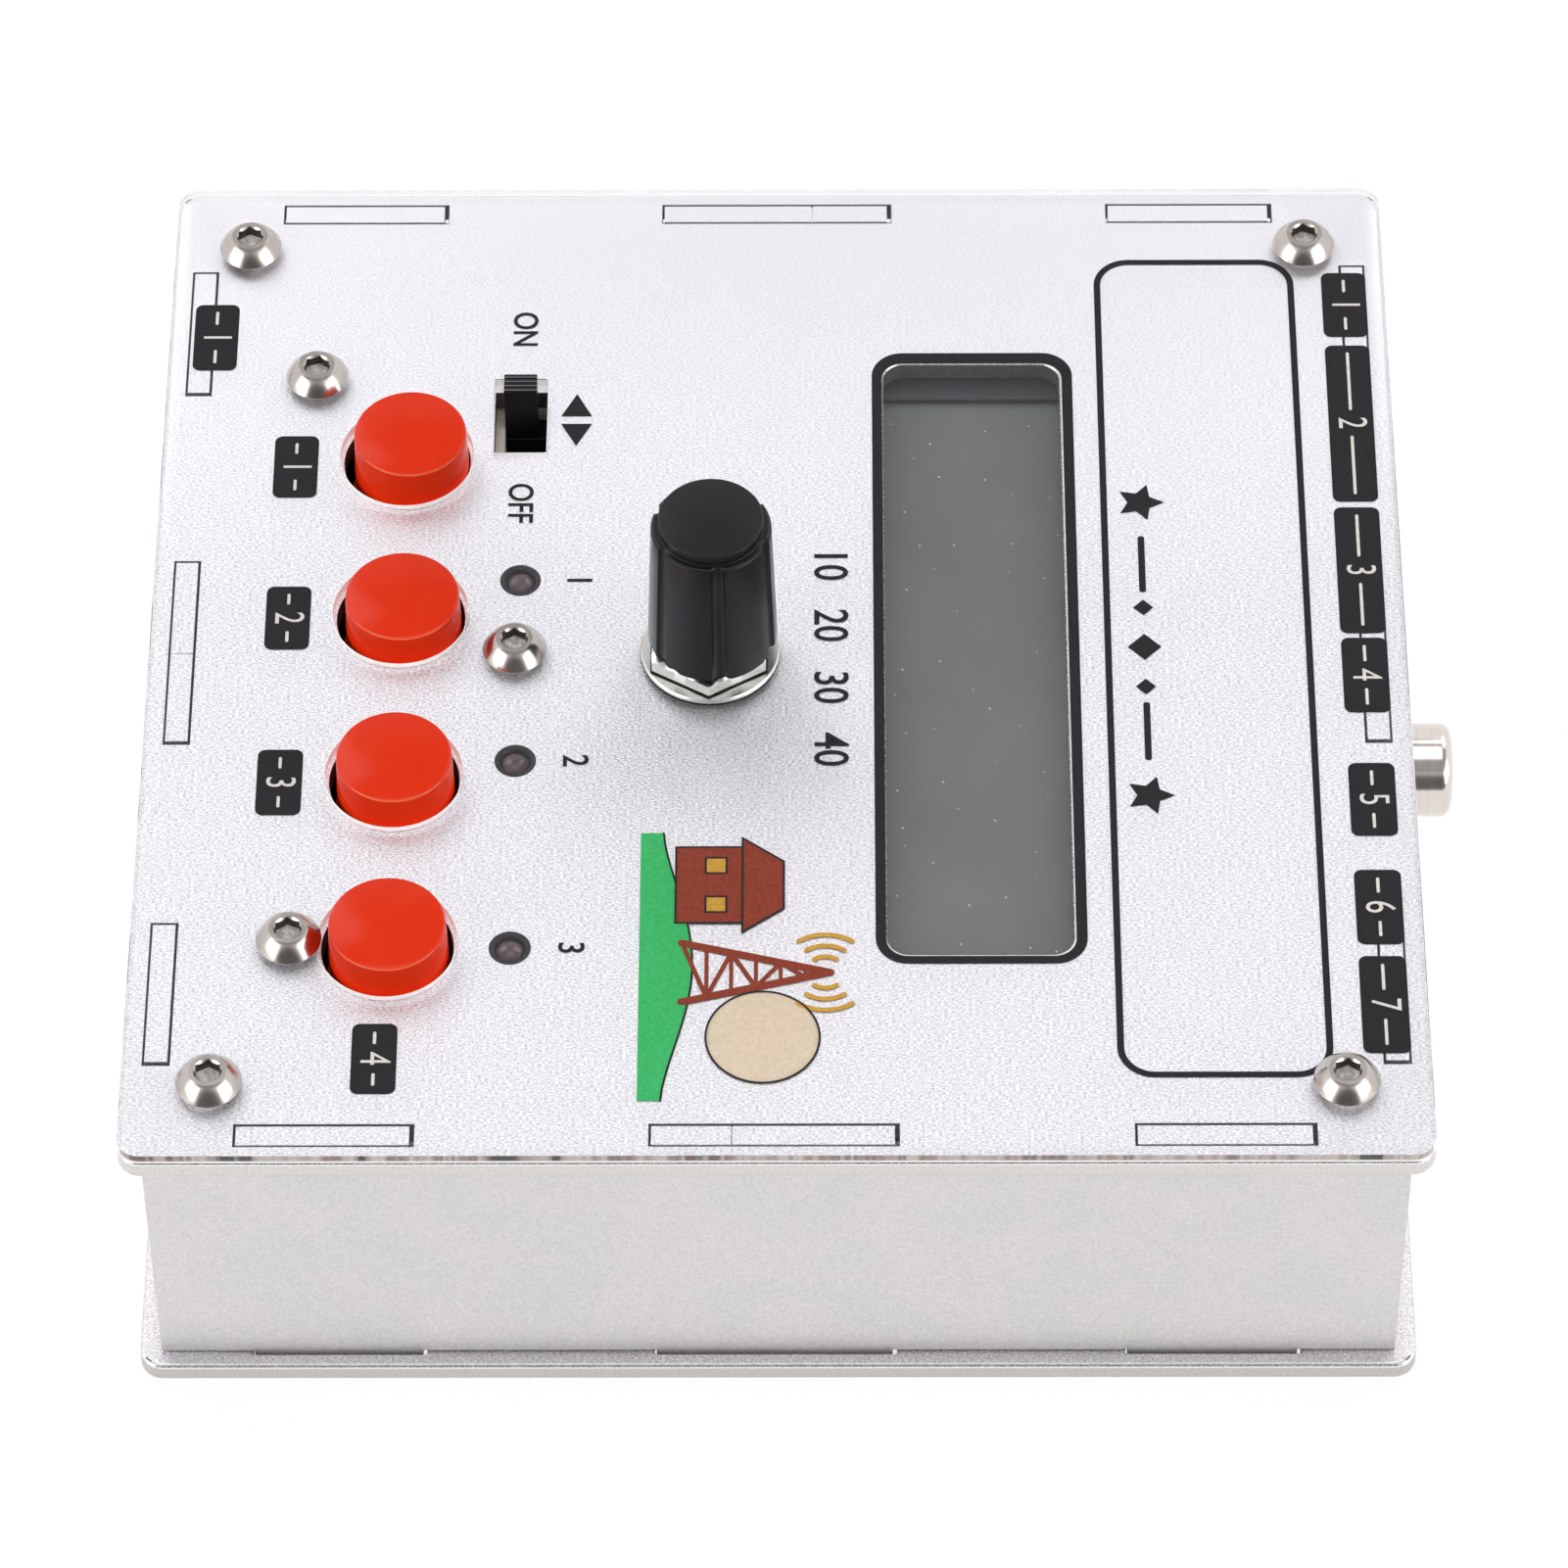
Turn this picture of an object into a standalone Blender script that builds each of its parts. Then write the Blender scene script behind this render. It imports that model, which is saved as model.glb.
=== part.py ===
"""Morse code keyer: a sheet-metal case with four buttons, a slide switch, a control knob,
a two-line display, three lamps and a row of sockets on its back wall.

Frame: metres, +Z up, origin under the middle of the base plate. The user sits at -Y, with the
buttons to that side and the sockets on the +Y wall; +X is the user's right.
"""
from math import cos, pi, radians, sin

import bmesh
import bpy

# Case: two equal plates, a clear printed sheet on the upper one, and walls with tabs in slots
plate_side = 0.112
plate_thickness = 0.002
plate_corner = 0.002
plate_edge = 0.0003
inner_height = 0.028
cover_thickness = 0.001
wall_thickness = 0.002
wall_setback = 0.0016
long_tab = 0.0212
short_tab = 0.0154
tab_margin = 0.0098
tab_recess = 0.0001

# Clearances
cover_gap = 0.0001
seat_gap = 0.0002
slot_gap = 0.0002
thread_gap = 0.00015
screw_gap = 0.0002
fit_gap = 0.0003
board_gap = 0.0008
overrun = 0.001
overlap = 0.0002

# Fasteners: M3 button heads above, countersunk heads below, hexagonal posts between
screw_radius = 0.0015
screw_length = 0.008
head_radius = 0.00285
head_height = 0.00165
head_rim = 0.0002
socket_across = 0.002
socket_depth = 0.001
sunk_radius = 0.0028
sunk_height = 0.0013
sunk_recess = 0.0001
corner_inset = 0.0073
post_across = 0.0055
post_stud = 0.0045
stud_end_gap = 0.0008
thread_spare = 0.0016
lower_spacer_height = 0.008

# Boards
board_thickness = 0.0016
board_corner = 0.001
spacer_wall = 0.00045
spacer_clearance = 0.0004
stacking_header_inset = 0.0026
stacking_header_length = 0.0203
stacking_header_width = 0.005
display_header_length = 0.0406
display_header_width = 0.0025
display_header_inset = 0.0013
controller_side = 0.014
controller_height = 0.0014
controller_x = -0.012
driver_length = 0.018
driver_width = 0.0075
driver_height = 0.0024
driver_x = 0.018
chips_y = 0.012
buzzer_x = 0.024
buzzer_y = -0.026
buzzer_radius = 0.0045
buzzer_height = 0.0055
buzzer_hole = 0.001
buzzer_hole_depth = 0.002

# Buttons: a flanged cap whose stem runs in its switch
button_count = 4
button_travel = 0.00035
cap_top_radius = 0.0051
cap_taper = 0.00025
cap_rise = 0.0035
cap_edge = 0.0006
cap_dish = 0.0002
cap_rim = 0.0011
cap_roof = 0.002
cap_wall = 0.0009
cap_stem_radius = 0.00175
cap_clearance = 0.00045
cover_rim = 0.0002
cover_web = 0.0008
flange_hold = 0.0003
flange_thickness = 0.001
tact_side = 0.012
tact_height = 0.0036
tact_floor = 0.0012
tact_chamfer = 0.0008
stem_gap = 0.00035

# Slide switch
slide_clearance = 0.0009
slide_travel = 0.0042
slide_switch_offset = -0.0003
slide_end_wall = 0.00305
slide_side_wall = 0.0015
slide_body_chamfer = 0.0004
slide_pocket_depth = 0.0046
lever_length = 0.0021
lever_width = 0.003
lever_rise = 0.0019
lever_rib_depth = 0.0002
lever_ribs = 5
slide_opening_end = 0.0003
slide_opening_side = 0.00055
slide_cover_end = 0.0007
slide_cover_side = 0.00015
slide_cover_corner = 0.0003

# Rotary encoder and its knob
encoder_inset = 0.00005
encoder_length = 0.0124
encoder_width = 0.0108
encoder_height = 0.0064
encoder_wall = 0.0009
bush_wall = 0.00035
bush_height = 0.007
shaft_radius = 0.003
shaft_tip_radius = 0.002
shaft_gap = 0.00015
push_travel = 0.0004
rotor_gap = 0.0005
rotor_thickness = 0.0018
washer_band = 0.0025
washer_thickness = 0.0005
nut_wall = 0.0015
nut_thickness = 0.0015
knob_height = 0.0154
knob_base_radius = 0.00575
knob_taper = 0.00045
knob_ledge = 0.00082
knob_disc_height = 0.0007
knob_edge = 0.0003
knob_round = 0.0007
knob_roof = 0.003
knob_bush_gap = 0.0004
knob_flutes = 6
flute_depth = 0.0004

# Lamps: a 3 mm lens on a spacer
lamp_row_step = 0.0003
lamp_count = 3
lamp_radius = 0.0015
lamp_spacer_wall = 0.0004
lamp_sink = 0.0004
lamp_rim = 0.001

# Character display
display_x = 0.0
view_length = 0.0645
view_width = 0.0162
bezel_end = 0.0034
bezel_side = 0.004
bezel_height = 0.0068
bezel_sheet = 0.0005
display_board_end = 0.00435
display_board_side = 0.0059
display_hole_inset = 0.0025
display_hole_radius = 0.00125
glass_thickness = 0.0024
window_end = 0.00235
window_side = 0.0001
window_corner = 0.0019

# Sockets: along the back wall from the user's left to the right, and one in the front wall
front_usb_from_post = 0.0107
small_usb_width = 0.0077
small_usb_height = 0.004
small_usb_depth = 0.0092
small_usb_tongue = 0.001
host_usb_width = 0.0144
host_usb_height = 0.007
host_usb_depth = 0.0155
host_usb_tongue = 0.0018
usb_shell = 0.0005
usb_back = 0.0015
usb_corner = 0.0006
usb_stand = 0.0004
tongue_gap = 0.0011
jack_bore_radius = 0.0018
jack_nose_wall = 0.0012
jack_body_margin = 0.0005
jack_body_cheek = 0.0015
jack_body_depth = 0.012
jack_body_back = 0.002
phono_axis_height = 0.0069
phono_body_margin = 0.00125
phono_body_cheek = 0.00085
phono_body_depth = 0.0115
phono_radius = 0.00415
phono_reach = 0.0061
phono_lip = 0.0003
phono_recess = 0.0006
phono_bore_radius = 0.0016
phono_depth = 0.0075
phono_round = 0.0006

# Places along the panel, as shares of half the plate's side
button_first_share = -0.407
button_pitch_share = 0.333
board_screw_share = 0.583
slide_share = -0.4955
encoder_share = 0.007
lamp_first_share = -0.152
lamp_pitch_share = 0.373

# Spare depth, as shares: before the front screws, before the middle screw and before the knob's
# washer. The rest lies behind the display
front_screw_share = 0.336
middle_screw_share = 0.094
washer_share = 0.36

# Spare width between the back posts, as shares: the gap before each socket from the user's left.
# The rest lies after the last one
socket_gap_shares = (0.008, 0.108, 0.257, 0.129, 0.216, 0.138, 0.078)

# Facets
corner_steps = 4
hole_steps = 20
small_steps = 12
head_steps = 18
cap_steps = 24
smooth_angle = radians(40)

# Levels, worked upward from the table and downward from the upper plate
plate_half = plate_side / 2
wall_outer = plate_half - wall_setback
wall_inner = wall_outer - wall_thickness
tab_centre = plate_half - tab_margin - short_tab / 2
tabs = ((-tab_centre, short_tab), (0.0, long_tab), (tab_centre, short_tab))
corner = plate_half - corner_inset
base_top = plate_thickness
deck_under = base_top + inner_height
deck_top = deck_under + plate_thickness
cover_under = deck_top + cover_gap
cover_top = cover_under + cover_thickness
screw_seat = cover_top + cover_gap
screw_hole = screw_radius + screw_gap
thread_bore = screw_radius + thread_gap
main_board_low = base_top + 2 * seat_gap + lower_spacer_height
main_board_top = main_board_low + board_thickness
parts_low = main_board_top + seat_gap
control_board_top = deck_under - encoder_height - 2 * seat_gap
control_board_low = control_board_top - board_thickness
control_parts_low = control_board_top + seat_gap
screw_tip = screw_seat - screw_length
stud_tip = parts_low - post_stud
base_screw_length = stud_tip - stud_end_gap - sunk_recess
encoder_top = control_parts_low + encoder_height
bush_top = encoder_top + bush_height
washer_low = cover_top + cover_gap
washer_top = washer_low + washer_thickness
nut_low = washer_top + cover_gap
nut_top = nut_low + nut_thickness
knob_low = nut_top + push_travel + shaft_gap
knob_top = knob_low + knob_height
shaft_top = knob_top - knob_roof - fit_gap

# Plan sizes that follow from what each piece clears, covers or holds
board_half = wall_inner - board_gap
post_radius = post_across / 2 / cos(pi / 6)
control_board_half_x = corner - post_radius - board_gap
stacking_header_y = -board_half + stacking_header_inset + stacking_header_width / 2
spacer_radius = thread_bore + spacer_wall
cap_deck_radius = cap_top_radius + cap_taper
button_hole_radius = cap_deck_radius + cap_clearance
cover_hole_radius = button_hole_radius + cover_rim
flange_radius = button_hole_radius + flange_hold
slide_pocket_length = lever_length + slide_travel + 2 * fit_gap
slide_pocket_width = lever_width + 2 * fit_gap
slide_opening_length = slide_pocket_length + 2 * slide_opening_end
slide_opening_width = slide_pocket_width + 2 * slide_opening_side
slide_body_width = slide_pocket_width + 2 * slide_side_wall
shaft_bore = shaft_radius + shaft_gap
bush_radius = shaft_bore + bush_wall
nut_hole = bush_radius + thread_gap
washer_radius = bush_radius + washer_band
lamp_hole_radius = lamp_radius + fit_gap
bezel_length = view_length + 2 * bezel_end
bezel_width = view_width + 2 * bezel_side
window_length = view_length + 2 * window_end
window_width = view_width + 2 * window_side
display_board_length = bezel_length + 2 * display_board_end
display_board_width = bezel_width + 2 * display_board_side
bezel_top = deck_under - fit_gap
display_board_top = bezel_top - bezel_height - seat_gap
display_board_low = display_board_top - board_thickness
bezel_low = bezel_top - bezel_height
glass_top = bezel_top - bezel_sheet - cover_gap
glass_low = glass_top - glass_thickness
bezel_room_length = bezel_length - 2 * bezel_sheet
bezel_room_width = bezel_width - 2 * bezel_sheet
front_usb_x = -corner + front_usb_from_post
jack_nose_radius = jack_bore_radius + jack_nose_wall
jack_body_height = 2 * (jack_nose_radius + jack_body_margin)
jack_body_width = 2 * (jack_nose_radius + jack_body_cheek)
phono_body_height = phono_axis_height + phono_radius + phono_body_margin
phono_body_width = 2 * (phono_radius + phono_body_cheek)

# Places from front to back: the rows stand one behind the other and share out the spare depth
front_limit = -wall_inner + slot_gap
back_limit = wall_inner - fit_gap - phono_body_depth
switch_to_screw = tact_side / 2 + spacer_clearance + spacer_radius
hole_to_screw = cover_hole_radius + cover_web + screw_hole
button_to_screw = max(switch_to_screw, hole_to_screw)
button_depth = spacer_radius + button_to_screw + tact_side / 2
screw_depth = spacer_radius + head_radius
knob_depth = washer_radius + encoder_width / 2 + encoder_inset
display_depth = fit_gap + display_board_width
used_depth = button_depth + screw_depth + knob_depth + display_depth
spare_depth = back_limit - front_limit - used_depth
board_screw_y = front_limit + front_screw_share * spare_depth + spacer_radius
button_row_y = board_screw_y + button_to_screw
button_back = button_row_y + tact_side / 2
slide_y = button_back + slide_clearance + slide_body_width / 2
middle_screw_y = button_back + middle_screw_share * spare_depth + spacer_radius
lamp_row_y = middle_screw_y + lamp_row_step
encoder_y = middle_screw_y + head_radius + washer_share * spare_depth + washer_radius
control_board_back = encoder_y + encoder_width / 2 + encoder_inset
display_y = control_board_back + fit_gap + display_board_width / 2

# Places from the user's left to the right
button_first_x = button_first_share * plate_half
button_pitch = button_pitch_share * plate_half
board_screw_x = board_screw_share * plate_half
slide_x = slide_share * plate_half
encoder_x = encoder_share * plate_half
lamp_first_x = lamp_first_share * plate_half
lamp_pitch = lamp_pitch_share * plate_half

# The way each wall faces: its own X runs along it, its Y is up, and its Z points outward
front_facing = (pi / 2, 0.0, 0.0)
right_facing = (pi / 2, 0.0, pi / 2)
back_facing = (pi / 2, 0.0, pi)
left_facing = (pi / 2, 0.0, -pi / 2)
upside_down = (pi, 0.0, 0.0)


# Outlines, anticlockwise

def box_outline(x, y, width, depth):
    return [(x + sx * width / 2, y + sy * depth / 2) for sx, sy in ((-1, -1), (1, -1), (1, 1), (-1, 1))]


def round_outline(x, y, radius, steps=hole_steps):
    turns = [2 * pi * step / steps for step in range(steps)]
    return [(x + radius * cos(turn), y + radius * sin(turn)) for turn in turns]


def hexagon_outline(across):
    radius = across / 2 / cos(pi / 6)
    return round_outline(0.0, 0.0, radius, 6)


def rounded_outline(x, y, width, depth, radius):
    points = []
    for quarter, (sx, sy) in enumerate(((1, 1), (-1, 1), (-1, -1), (1, -1))):
        centre_x = x + sx * (width / 2 - radius)
        centre_y = y + sy * (depth / 2 - radius)
        for step in range(corner_steps + 1):
            turn = (quarter + step / corner_steps) * pi / 2
            points.append((centre_x + radius * cos(turn), centre_y + radius * sin(turn)))
    return points


# Solids

def add_loft(bm, rings, closed=False):
    """Skins equal outlines stacked as (outline, height); a closed loft bites its own tail."""
    loops = [[bm.verts.new((x, y, height)) for x, y in outline] for outline, height in rings]
    nexts = loops[1:] + loops[:1] if closed else loops[1:]
    for lower, upper in zip(loops, nexts):
        for here in range(len(lower)):
            there = (here + 1) % len(lower)
            bm.faces.new((lower[here], lower[there], upper[there], upper[here]))
    if not closed:
        bm.faces.new(loops[0])
        bm.faces.new(loops[-1])


def add_prism(bm, outline, low, high):
    add_loft(bm, [(outline, low), (outline, high)])


def add_turned(bm, profile, steps, x=0.0, y=0.0, closed=False):
    """Turns a profile of (radius, height) points about a vertical axis."""
    add_loft(bm, [(round_outline(x, y, radius, steps), height) for radius, height in profile], closed)


def new_mesh(name, bm):
    bmesh.ops.recalc_face_normals(bm, faces=bm.faces)
    mesh = bpy.data.meshes.new(name)
    bm.to_mesh(mesh)
    bm.free()
    mesh.shade_smooth()
    mesh.set_sharp_from_angle(angle=smooth_angle)
    return mesh


def new_part(name, shape, material, place=(0.0, 0.0, 0.0), facing=(0.0, 0.0, 0.0)):
    """Adds one piece. shape is a bmesh, or the mesh of a piece that this one repeats."""
    mesh = shape if isinstance(shape, bpy.types.Mesh) else new_mesh(name, shape)
    if not mesh.materials:
        mesh.materials.append(material)
    part = bpy.data.objects.new(name, mesh)
    part.location = place
    part.rotation_euler = facing
    bpy.context.scene.collection.objects.link(part)
    return part


def combine(part, bm, operation):
    """Adds or removes the shapes in bm, which are drawn in the part's own frame."""
    tool = bpy.data.objects.new(part.name + "_" + operation.lower(), new_mesh(part.name + "_tool", bm))
    tool.location = part.location
    tool.rotation_euler = part.rotation_euler
    tool.hide_render = True
    tool.display_type = "WIRE"
    bpy.context.scene.collection.objects.link(tool)
    step = part.modifiers.new(operation.title(), "BOOLEAN")
    step.operation = operation
    step.solver = "EXACT"
    step.object = tool
    return tool


def cut(part, bm):
    return combine(part, bm, "DIFFERENCE")


def join(part, bm):
    return combine(part, bm, "UNION")


def settle(part, tools):
    """Keeps the part's finished mesh, so that its copies can share it."""
    bpy.context.view_layer.update()
    seen = part.evaluated_get(bpy.context.evaluated_depsgraph_get())
    mesh = bpy.data.meshes.new_from_object(seen)
    part.modifiers.clear()
    part.data = mesh
    for tool in tools:
        bpy.data.objects.remove(tool, do_unlink=True)
    return mesh


def new_material(name, colour, roughness, metallic=0.0, alpha=1.0):
    material = bpy.data.materials.new(name)
    material.use_nodes = True
    shader = material.node_tree.nodes["Principled BSDF"]
    shader.inputs["Base Color"].default_value = (*colour, 1.0)
    shader.inputs["Roughness"].default_value = roughness
    shader.inputs["Metallic"].default_value = metallic
    shader.inputs["Alpha"].default_value = alpha
    return material


# Places

def back_socket_places():
    """The sockets of the back wall stand in a row between the posts, and share out the spare width."""
    small = small_usb_width + 2 * fit_gap
    host = host_usb_width + 2 * fit_gap
    jack = jack_body_width
    widths = (small, host, jack, phono_body_width, jack, jack, jack)
    edge = -corner + post_radius
    spare_width = -2 * edge - sum(widths)
    places = []
    for width, share in zip(widths, socket_gap_shares):
        edge += share * spare_width
        places.append(edge + width / 2)
        edge += width
    return places


back_usb_x, host_usb_x, first_jack_x, phono_x, *other_jack_places = back_socket_places()
jack_places = (first_jack_x, *other_jack_places)


def corner_places():
    return [(sx * corner, sy * corner) for sx, sy in ((-1, -1), (1, -1), (1, 1), (-1, 1))]


def board_screw_places():
    return [(-board_screw_x, board_screw_y), (board_screw_x, board_screw_y), (0.0, middle_screw_y)]


def button_places():
    return [(button_first_x + button_pitch * step, button_row_y) for step in range(button_count)]


def lamp_places():
    return [(lamp_first_x + lamp_pitch * step, lamp_row_y) for step in range(lamp_count)]


# Case

def slot_outlines():
    """The wall slots of a plate: three along each side."""
    middle = (wall_outer + wall_inner) / 2
    width = wall_thickness + 2 * slot_gap
    outlines = []
    for side in (-middle, middle):
        for centre, length in tabs:
            outlines.append(box_outline(side, centre, width, length + 2 * slot_gap))
            outlines.append(box_outline(centre, side, length + 2 * slot_gap, width))
    return outlines


def plate_rings(low, high, edge):
    def ring(inset, height):
        side = plate_side - 2 * inset
        return rounded_outline(0.0, 0.0, side, side, plate_corner - inset), height

    return [ring(edge, low), ring(0.0, low + edge), ring(0.0, high - edge), ring(edge, high)]


def through_cutter(outlines, low, high):
    bm = bmesh.new()
    for outline in outlines:
        add_prism(bm, outline, low - overrun, high + overrun)
    return bm


def make_base_plate(material):
    bm = bmesh.new()
    add_loft(bm, plate_rings(0.0, base_top, plate_edge))
    base = new_part("base_plate", bm, material)
    tool = through_cutter(slot_outlines(), 0.0, base_top)
    mouth = sunk_radius + screw_gap
    for x, y in corner_places():
        sink = [(mouth, -overrun), (mouth, sunk_recess), (screw_hole, sunk_recess + sunk_height)]
        add_turned(tool, sink + [(screw_hole, base_top + overrun)], small_steps, x, y)
    cut(base, tool)


def make_top_plate(material):
    bm = bmesh.new()
    add_loft(bm, plate_rings(deck_under, deck_top, plate_edge))
    top = new_part("top_plate", bm, material)
    outlines = slot_outlines()
    screws = corner_places() + board_screw_places()
    outlines += [round_outline(x, y, screw_hole, small_steps) for x, y in screws]
    outlines += [round_outline(x, y, button_hole_radius) for x, y in button_places()]
    outlines += [round_outline(x, y, lamp_hole_radius, small_steps) for x, y in lamp_places()]
    outlines.append(round_outline(encoder_x, encoder_y, bush_radius + fit_gap))
    outlines.append(box_outline(slide_x, slide_y, slide_opening_length, slide_opening_width))
    outlines.append(rounded_outline(display_x, display_y, window_length, window_width, window_corner))
    cut(top, through_cutter(outlines, deck_under, deck_top))


def make_cover_sheet(material):
    bm = bmesh.new()
    outline = rounded_outline(0.0, 0.0, plate_side, plate_side, plate_corner)
    add_prism(bm, outline, cover_under, cover_top)
    cover = new_part("cover_sheet", bm, material)
    screws = corner_places() + board_screw_places()
    outlines = [round_outline(x, y, screw_hole, small_steps) for x, y in screws]
    outlines += [round_outline(x, y, cover_hole_radius) for x, y in button_places()]
    outlines.append(round_outline(encoder_x, encoder_y, bush_radius + fit_gap))
    length = slide_opening_length + 2 * slide_cover_end
    width = slide_opening_width + 2 * slide_cover_side
    outlines.append(rounded_outline(slide_x, slide_y, length, width, slide_cover_corner))
    cut(cover, through_cutter(outlines, cover_under, cover_top))


def wall_outline(half_length):
    """A wall seen from outside, with three tabs standing out of each long edge."""
    low = base_top + seat_gap
    high = deck_under - seat_gap
    points = [(-half_length, low)]
    for centre, length in tabs:
        left = centre - length / 2
        right = centre + length / 2
        points += [(left, low), (left, tab_recess), (right, tab_recess), (right, low)]
    points += [(half_length, low), (half_length, high)]
    for centre, length in reversed(tabs):
        left = centre - length / 2
        right = centre + length / 2
        points += [(right, high), (right, deck_top), (left, deck_top), (left, high)]
    points.append((-half_length, high))
    return points


def make_wall(name, half_length, facing, material, openings=()):
    bm = bmesh.new()
    add_prism(bm, wall_outline(half_length), wall_inner, wall_outer)
    wall = new_part(name, bm, material, facing=facing)
    if openings:
        cut(wall, through_cutter(openings, wall_inner, wall_outer))


def usb_opening(x, width, height):
    middle = parts_low + usb_stand + height / 2
    return rounded_outline(x, middle, width + 2 * fit_gap, height + 2 * fit_gap, usb_corner + fit_gap)


def make_walls(material):
    make_wall("right_wall", wall_outer, right_facing, material)
    make_wall("left_wall", wall_outer, left_facing, material)
    between = wall_inner - seat_gap
    front_openings = [usb_opening(front_usb_x, small_usb_width, small_usb_height)]
    make_wall("front_wall", between, front_facing, material, front_openings)
    jack_axis = parts_low + jack_body_height / 2
    phono_axis = parts_low + phono_axis_height
    back_openings = [usb_opening(-back_usb_x, small_usb_width, small_usb_height)]
    back_openings.append(usb_opening(-host_usb_x, host_usb_width, host_usb_height))
    back_openings += [round_outline(-x, jack_axis, jack_nose_radius + fit_gap) for x in jack_places]
    back_openings.append(round_outline(-phono_x, phono_axis, phono_radius + fit_gap))
    make_wall("back_wall", between, back_facing, material, back_openings)


# Fasteners

def make_button_head_screws(material):
    """Domed heads on the cover sheet, with a hexagon socket in each."""
    dome = head_height - head_rim
    slope = [(head_radius, 0.0), (head_radius, head_rim)]
    slope += [(head_radius * cos(turn), head_rim + dome * sin(turn)) for turn in (pi / 7, 2 * pi / 7)]
    crown = head_radius * cos(pi / 3)
    profile = [(crown, head_height)] + slope[::-1] + [(screw_radius, 0.0), (screw_radius, -screw_length)]
    bm = bmesh.new()
    add_turned(bm, profile, head_steps)
    names = [f"corner_screw_{number}" for number in range(1, 5)]
    names += [f"board_screw_{number}" for number in range(1, 4)]
    places = corner_places() + board_screw_places()
    first = new_part(names[0], bm, material, (*places[0], screw_seat))
    socket = bmesh.new()
    add_prism(socket, hexagon_outline(socket_across), head_height - socket_depth, head_height + overrun)
    mesh = settle(first, [cut(first, socket)])
    for name, place in zip(names[1:], places[1:]):
        new_part(name, mesh, material, (*place, screw_seat))


def make_base_screws(material):
    """Countersunk screws, drawn head up and set upside down from below."""
    profile = [(sunk_radius, 0.0), (screw_radius, -sunk_height), (screw_radius, -base_screw_length)]
    bm = bmesh.new()
    add_turned(bm, profile, small_steps)
    places = [(*place, sunk_recess) for place in corner_places()]
    first = new_part("base_screw_1", bm, material, places[0], upside_down)
    socket = bmesh.new()
    add_prism(socket, hexagon_outline(socket_across), -socket_depth, overrun)
    mesh = settle(first, [cut(first, socket)])
    for number, place in enumerate(places[1:], 2):
        new_part(f"base_screw_{number}", mesh, material, place, upside_down)


def make_lower_spacers(material):
    low = base_top + seat_gap
    bm = bmesh.new()
    add_prism(bm, hexagon_outline(post_across), low, low + lower_spacer_height)
    first = new_part("lower_spacer_1", bm, material, (*corner_places()[0], 0.0))
    thread = round_outline(0.0, 0.0, thread_bore, small_steps)
    mesh = settle(first, [cut(first, through_cutter([thread], low, low + lower_spacer_height))])
    for number, place in enumerate(corner_places()[1:], 2):
        new_part(f"lower_spacer_{number}", mesh, material, (*place, 0.0))


def make_corner_posts(material):
    """Hexagonal posts whose lower studs clamp the main board to the spacers."""
    low = parts_low
    high = deck_under - seat_gap
    bm = bmesh.new()
    add_prism(bm, hexagon_outline(post_across), low, high)
    first = new_part("corner_post_1", bm, material, (*corner_places()[0], 0.0))
    stud = bmesh.new()
    add_prism(stud, round_outline(0.0, 0.0, screw_radius, small_steps), low - post_stud, low + overlap)
    tools = [join(first, stud)]
    bore = bmesh.new()
    floor = screw_tip - thread_spare
    add_prism(bore, round_outline(0.0, 0.0, thread_bore, small_steps), floor, high + overrun)
    tools.append(cut(first, bore))
    mesh = settle(first, tools)
    for number, place in enumerate(corner_places()[1:], 2):
        new_part(f"corner_post_{number}", mesh, material, (*place, 0.0))


# Boards and what is soldered to them

def make_main_board(material):
    bm = bmesh.new()
    outline = rounded_outline(0.0, 0.0, 2 * board_half, 2 * board_half, board_corner)
    add_prism(bm, outline, main_board_low, main_board_top)
    board = new_part("main_board", bm, material)
    chips = bmesh.new()
    chip_low = main_board_top - overlap
    controller = box_outline(controller_x, chips_y, controller_side, controller_side)
    add_prism(chips, controller, chip_low, main_board_top + controller_height)
    driver = box_outline(driver_x, chips_y, driver_length, driver_width)
    add_prism(chips, driver, chip_low, main_board_top + driver_height)
    join(board, chips)
    holes = [round_outline(x, y, screw_hole, small_steps) for x, y in corner_places()]
    cut(board, through_cutter(holes, main_board_low, main_board_top))


def make_control_board(material):
    """Hangs under the upper plate on three soldered spacers and stacks on the main board."""
    middle_y = (control_board_back - board_half) / 2
    depth = control_board_back + board_half
    bm = bmesh.new()
    outline = rounded_outline(0.0, middle_y, 2 * control_board_half_x, depth, board_corner)
    add_prism(bm, outline, control_board_low, control_board_top)
    board = new_part("control_board", bm, material)
    fittings = bmesh.new()
    header = box_outline(0.0, stacking_header_y, stacking_header_length, stacking_header_width)
    add_prism(fittings, header, parts_low, control_board_low + overlap)
    spacer_top = deck_under - seat_gap
    for x, y in board_screw_places():
        spacer = round_outline(x, y, spacer_radius, small_steps)
        add_prism(fittings, spacer, control_board_top - overlap, spacer_top)
    join(board, fittings)
    bores = [round_outline(x, y, thread_bore, small_steps) for x, y in board_screw_places()]
    cut(board, through_cutter(bores, control_board_low, spacer_top))


def make_buzzer(material):
    high = parts_low + buzzer_height
    bm = bmesh.new()
    add_prism(bm, round_outline(0.0, 0.0, buzzer_radius), parts_low, high)
    buzzer = new_part("buzzer", bm, material, (buzzer_x, buzzer_y, 0.0))
    hole = bmesh.new()
    mouth = round_outline(0.0, 0.0, buzzer_hole, small_steps)
    add_prism(hole, mouth, high - buzzer_hole_depth, high + overrun)
    cut(buzzer, hole)


# Display module

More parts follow.
